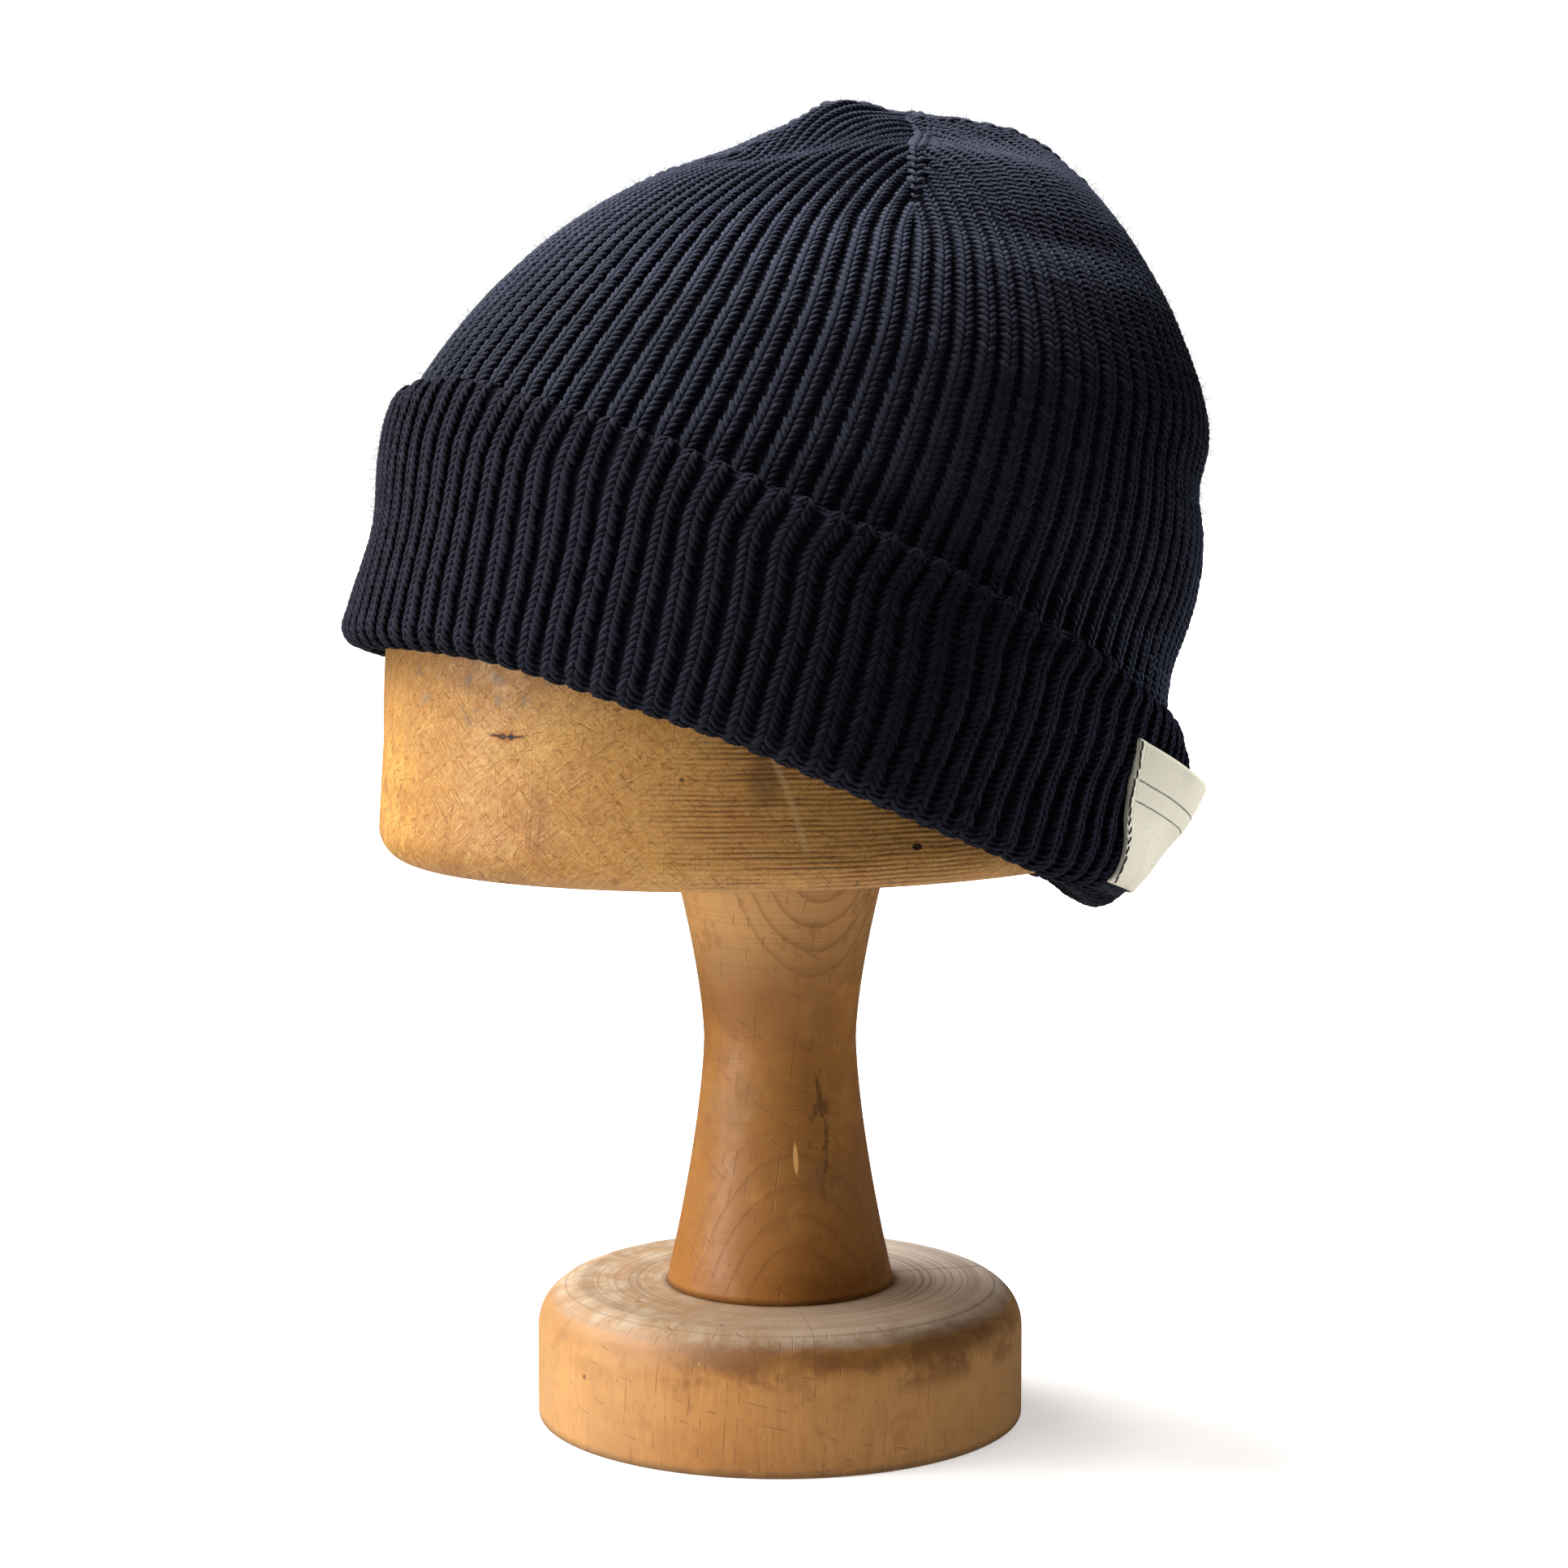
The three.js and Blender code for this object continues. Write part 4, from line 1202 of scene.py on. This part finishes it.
def makeFuzz():
    look = fuzzLook
    hair, cells = hairMesh()
    hairObject = pieceFrom("hair", hair)
    tree = fuzzTree()
    crownRings = [plainRing(row, capShape["wall"] + look["crownOut"]) for row in look["crownRows"]]
    rises, outs = (values[look["cuffStrewn"]] for values in cuffPath(look["cuffSteps"]))
    cuffRings = [cuffRing(rise, out, look["cuffRibs"]) for rise, out in zip(rises, outs)]
    for name, rings, count, material, seed in (("crown_fuzz", crownRings, look["crownCount"], crownYarn, 0),
                                               ("cuff_fuzz", cuffRings, look["cuffCount"], cuffYarn, 1)):
        start = skin(name + "_ground", np.stack(rings), material)
        area = sum(face.area for face in start.data.polygons)
        fuzz = runTree(name, tree, start, {
            "Shape": hairObject, "Density": count / area, "Length": look["length"] * mm,
            "Lean": math.radians(look["lean"]), "Seed": look["seed"] + seed, "Material": material,
        })
        print("loose fibres:", name, bakeCells(fuzz, cells))
        dress(fuzz, "navy_knit")
    bpy.data.objects.remove(hairObject)


makeFuzz()


# The label: a plain cotton tape sewn to the cuff at the back

def tapeCloth():
    f = Finish("label_tape")
    flat = f.flat()
    across, up = f.parts(flat)[:2]
    warp, weft = f.wave(across * 19.0), f.wave(up * 15.0)
    weave = f.most(warp * (1 - weft), weft * (1 - warp))
    slub = f.noise(f.stretched(flat, (0.5, 3.0, 1)), detail=3)
    soil = f.fade(f.noise(f.place(), 120, 3, 0.6), 0.50, 0.75)
    hemLine = f.fade(f.gap(across - labelShape["hem"]), 0.45, 0.15)
    worn = f.fade(f.noise(f.stretched(flat, (1.2, 6, 1)), detail=2), 0.30, 0.50)
    unsteady = 0.25 * (f.noise(flat, 0.12, 1) - 0.5)
    start, end = labelShape["ruleEnds"]
    ruled = f.fade(across, start - 0.2, start + 0.2) * f.fade(across, end + 0.2, end - 0.2) * worn
    rules = [f.fade(f.gap(up - share * labelShape["height"] + unsteady), 0.30, 0.17)
             for share in labelShape["rules"]]
    colour = f.paint(f.mix(slub, (0.80, 0.755, 0.60), (0.89, 0.845, 0.685)), [
        (0.22, 1 - weave, (0.50, 0.45, 0.33)),
        (0.22, soil, (0.42, 0.38, 0.30)),
        *((0.9, ruled * rule, (0.06, 0.06, 0.06)) for rule in rules),
        (0.35, hemLine, (0.30, 0.27, 0.20)),
    ])
    height = 0.35 * weave + 0.4 * slub - 0.5 * hemLine
    return f.surface(base_color=colour, roughness=0.86, normal=f.bump(height, 0.00018), sheen_weight=0.08,
                     sheen_roughness=0.5, specular_ior_level=0.2)


def threadFinish():
    f = Finish("label_thread")
    twist = f.noise(f.stretched(f.place(), (4000, 4000, 1500)), detail=1)
    return f.surface(base_color=f.mix(twist, (0.006, 0.006, 0.008), (0.022, 0.022, 0.026)), roughness=0.8)


cuffRises, cuffOuts = cuffPath(cuffShape["fineSteps"])
cuffFace = slice(int(np.argmax(cuffRises)), int(np.argmin(cuffRises)))  # from the top edge to the fold


def labelPoint(share, up, over):
    # share runs from the sewn edge that shows to the far one, up from the foot of the tape
    s = labelShape
    angle = labelTurn(share) + s["slant"] * up * (1 - share)
    inside = np.clip(share, 0, 1)
    foot, top = labelRise(share)
    rise = foot + (top - foot) * up + s["bow"] * np.sin(np.pi * inside) * up ** 2
    face = np.interp(rise, cuffRises[cuffFace][::-1], cuffOuts[cuffFace][::-1]) + cuffSwell(angle, rise)
    gape = s["gape"] * np.sin(np.pi * inside ** 1.3) ** 0.9 * np.clip(up, 0, 1) ** 1.9
    ripple = s["ripple"] * np.sin(9 * share + 2.2 * up) * np.sin(np.pi * inside)
    return knitPoint(angle, rise * capShape["cuffTopRow"], face + s["stand"] + gape + ripple + over)


def threadObjectOf(material):
    # a thread that dips at both ends, one unit long: place along, lift and girth
    turns = np.linspace(0, 2 * np.pi, 6, endpoint=False)
    half = [(0.5, -0.3, 0.0), (0.45, 0.1, 0.9), (0.2, 0.5, 1)]
    whole = half + [(-along, lift, thick) for along, lift, thick in half[::-1]]
    rings = [np.stack([0.5 * thick * np.cos(turns), along + 0 * turns, lift + 0.5 * thick * np.sin(turns)], 1)
             for along, lift, thick in whole]
    return skin("thread", np.stack(rings) / mm, material)


def makeLabel():
    s = labelShape
    shares = np.concatenate([[1.0], np.linspace(1, 0, s["columns"]), [0.0]])
    ups = np.concatenate([[1.0], np.linspace(1, 0, s["rows"]), [0.0]])
    share, up = np.meshgrid(shares, ups)
    rim = np.ones_like(share)
    rim[[0, -1], :] = 0
    rim[:, [0, -1]] = 0
    hem = s["hemThick"] * (1 - smooth(share * s["width"], s["hem"] - 0.4, s["hem"] + 0.2))
    front = labelPoint(share, up, (s["thick"] + hem) * (0.35 + 0.65 * rim))
    back = labelPoint(share, up, 0 * share)
    flat = np.stack([share * s["width"], up * s["height"], 0 * share], -1)
    rings = np.concatenate([front, back[:, ::-1]], 1)
    marks = np.concatenate([flat, flat[:, ::-1]], 1)
    half = len(shares)
    ends = [np.concatenate([ring[:, :half], ring[:, half - 1::-1]], 1) for ring in (rings[:1], rings[-1:])]
    rings = np.concatenate([ends[0], rings, ends[1]])
    marks = np.concatenate([marks[:1], marks, marks[-1:]])
    label = skin("label_cloth", rings, tapeCloth(), marks=marks)
    dress(label, "label_tape", "label")

    black = threadFinish()
    threadObject = threadObjectOf(black)
    near, far = s["threadInset"]
    up = np.linspace(s["threadFrom"], 1 - s["threadFrom"], s["threadSteps"])
    paths = []
    for away in (near, s["width"] - far):  # one line of stitches beside each short edge
        share = (away + 0.28 * np.sin(17 * up + away) + 0.15 * np.sin(41 * up)) / s["width"]
        points = labelPoint(share, up, s["thick"] + s["threadLift"] + 0 * up)
        normal = loftNormal(labelTurn(share), up * capShape["cuffTopRow"])
        paths.append((points, normal, np.tile(s["thread"], (len(up), 1))))
    stitching = sewn("label_stitching", paths, threadObject, black, s["threadPitch"])
    bpy.data.objects.remove(threadObject)
    dress(stitching, "label_tape")
    flatArea = s["width"] * s["height"] * mm * mm
    print("label sewn, flat area %.5f square metres" % flatArea)


makeLabel()


# Floor, light and camera

studio = {
    "pitchDown": 6.3, "azimuth": 60, "distance": 0.900, "height": 0.258, "aside": 0.001,
    "focalPixels": 4500, "framePixels": 1932, "sensor": 36.0,
    "floorGlow": 0.48, "tableRadius": 0.24, "floorRadius": 6.0, "floorSides": 64,
    "lamps": {  # kind, place to the right, towards the camera and up, size, power and colour
        "key": ("SUN", (-1.42, 0.45, 1.42), 62, 2.0, (1.0, 0.985, 0.96)),
        "low": ("AREA", (-1.25, 0.42, 0.14), 0.6, 12.5, (1.0, 0.98, 0.95)),
        "top": ("SUN", (-0.62, -0.30, 1.17), 55, 6.0, (1.0, 1.0, 1.0)),
        "edge": ("AREA", (1.15, -0.38, 0.30), 0.6, 2.4, (0.97, 0.98, 1.0)),
        "kick": ("SPOT", (1.0, -0.42, 0.40), 0.04, 66.0, (0.97, 0.98, 1.0)),
    },
    "aim": (0, 0, 0.17), "spotAim": (0.068, 0.082, 0.174), "spotCone": 6.5, "spotBlend": 0.6,
    "unmirrored": ("edge", "kick"),  # lamps that leave no highlight
    "fill": (0.075, (0.97, 0.98, 1.0, 1)), "backdrop": (1.0, (1, 1, 1, 1)),  # strength and colour
}


def makeFloor():
    f = Finish("floor_white")
    white = f.surface(base_color=(0.88, 0.88, 0.88, 1), roughness=0.9, specular_ior_level=0.1,
                      emission_color=(1, 1, 1, 1), emission_strength=studio["floorGlow"])
    sides = studio["floorSides"]
    turns = np.linspace(0, 2 * np.pi, sides, endpoint=False)
    circle = np.stack([np.cos(turns), np.sin(turns), 0 * turns], 1)
    near, far = circle * studio["tableRadius"] / mm, circle * studio["floorRadius"] / mm
    table = pieceFrom("table", meshFrom("table", near, [list(range(sides))], white))
    ring = [(k, k + sides, (k + 1) % sides + sides, (k + 1) % sides) for k in range(sides)]
    floor = pieceFrom("floor", meshFrom("floor", np.vstack([near, far]), ring, white))
    floor.visible_diffuse = False  # only the table close by throws light up
    floor.visible_glossy = False
    table.visible_glossy = False


def facing(way):
    return way.to_track_quat("-Z", "Y").to_euler()


def makeLamp(name, place, kind, size, power, colour):
    light = bpy.data.lights.new(name, kind)
    if kind == "SUN":
        light.angle = math.radians(size)
    elif kind == "SPOT":
        light.shadow_soft_size = size
        light.spot_size = math.radians(studio["spotCone"])
        light.spot_blend = studio["spotBlend"]
    else:
        light.shape = "DISK"
        light.size = size
    light.energy = power
    light.color = colour
    holder = pieceFrom(name, light)
    holder.location = place
    holder.rotation_euler = facing(Vector(studio["spotAim" if kind == "SPOT" else "aim"]) - place)
    holder.visible_glossy = name not in studio["unmirrored"]


def makeWorld():
    world = bpy.data.worlds.new("studio")
    bpy.context.scene.world = world
    world.use_nodes = True
    nodes, links = world.node_tree.nodes, world.node_tree.links
    nodes.clear()
    blend = nodes.new("ShaderNodeMixShader")
    links.new(nodes.new("ShaderNodeLightPath").outputs["Is Camera Ray"], blend.inputs[0])
    for socket, (strength, colour) in ((1, studio["fill"]), (2, studio["backdrop"])):
        shade = nodes.new("ShaderNodeBackground")
        shade.inputs["Strength"].default_value = strength
        shade.inputs["Color"].default_value = colour
        links.new(shade.outputs[0], blend.inputs[socket])
    links.new(blend.outputs[0], nodes.new("ShaderNodeOutputWorld").inputs["Surface"])


def makeStudio():
    makeFloor()
    turn = math.radians(studio["azimuth"])
    right = Vector((math.cos(turn), math.sin(turn), 0))
    towards = Vector((math.sin(turn), -math.cos(turn), 0))
    up = Vector((0, 0, 1))
    for name, (kind, (a, b, c), *rest) in studio["lamps"].items():
        makeLamp(name, a * right + b * towards + c * up, kind, *rest)
    makeWorld()

    lens = bpy.data.cameras.new("camera")
    lens.sensor_fit = "HORIZONTAL"
    lens.sensor_width = studio["sensor"]
    lens.lens = studio["focalPixels"] / studio["framePixels"] * studio["sensor"]
    lens.clip_end = 50
    camera = pieceFrom("camera", lens)
    camera.location = studio["distance"] * towards + studio["aside"] * right + studio["height"] * up
    down = math.radians(studio["pitchDown"])
    camera.rotation_euler = facing(-math.cos(down) * towards - math.sin(down) * up)
    bpy.context.scene.camera = camera
    bpy.context.scene.view_settings.view_transform = "Standard"
    print("studio set")


makeStudio()
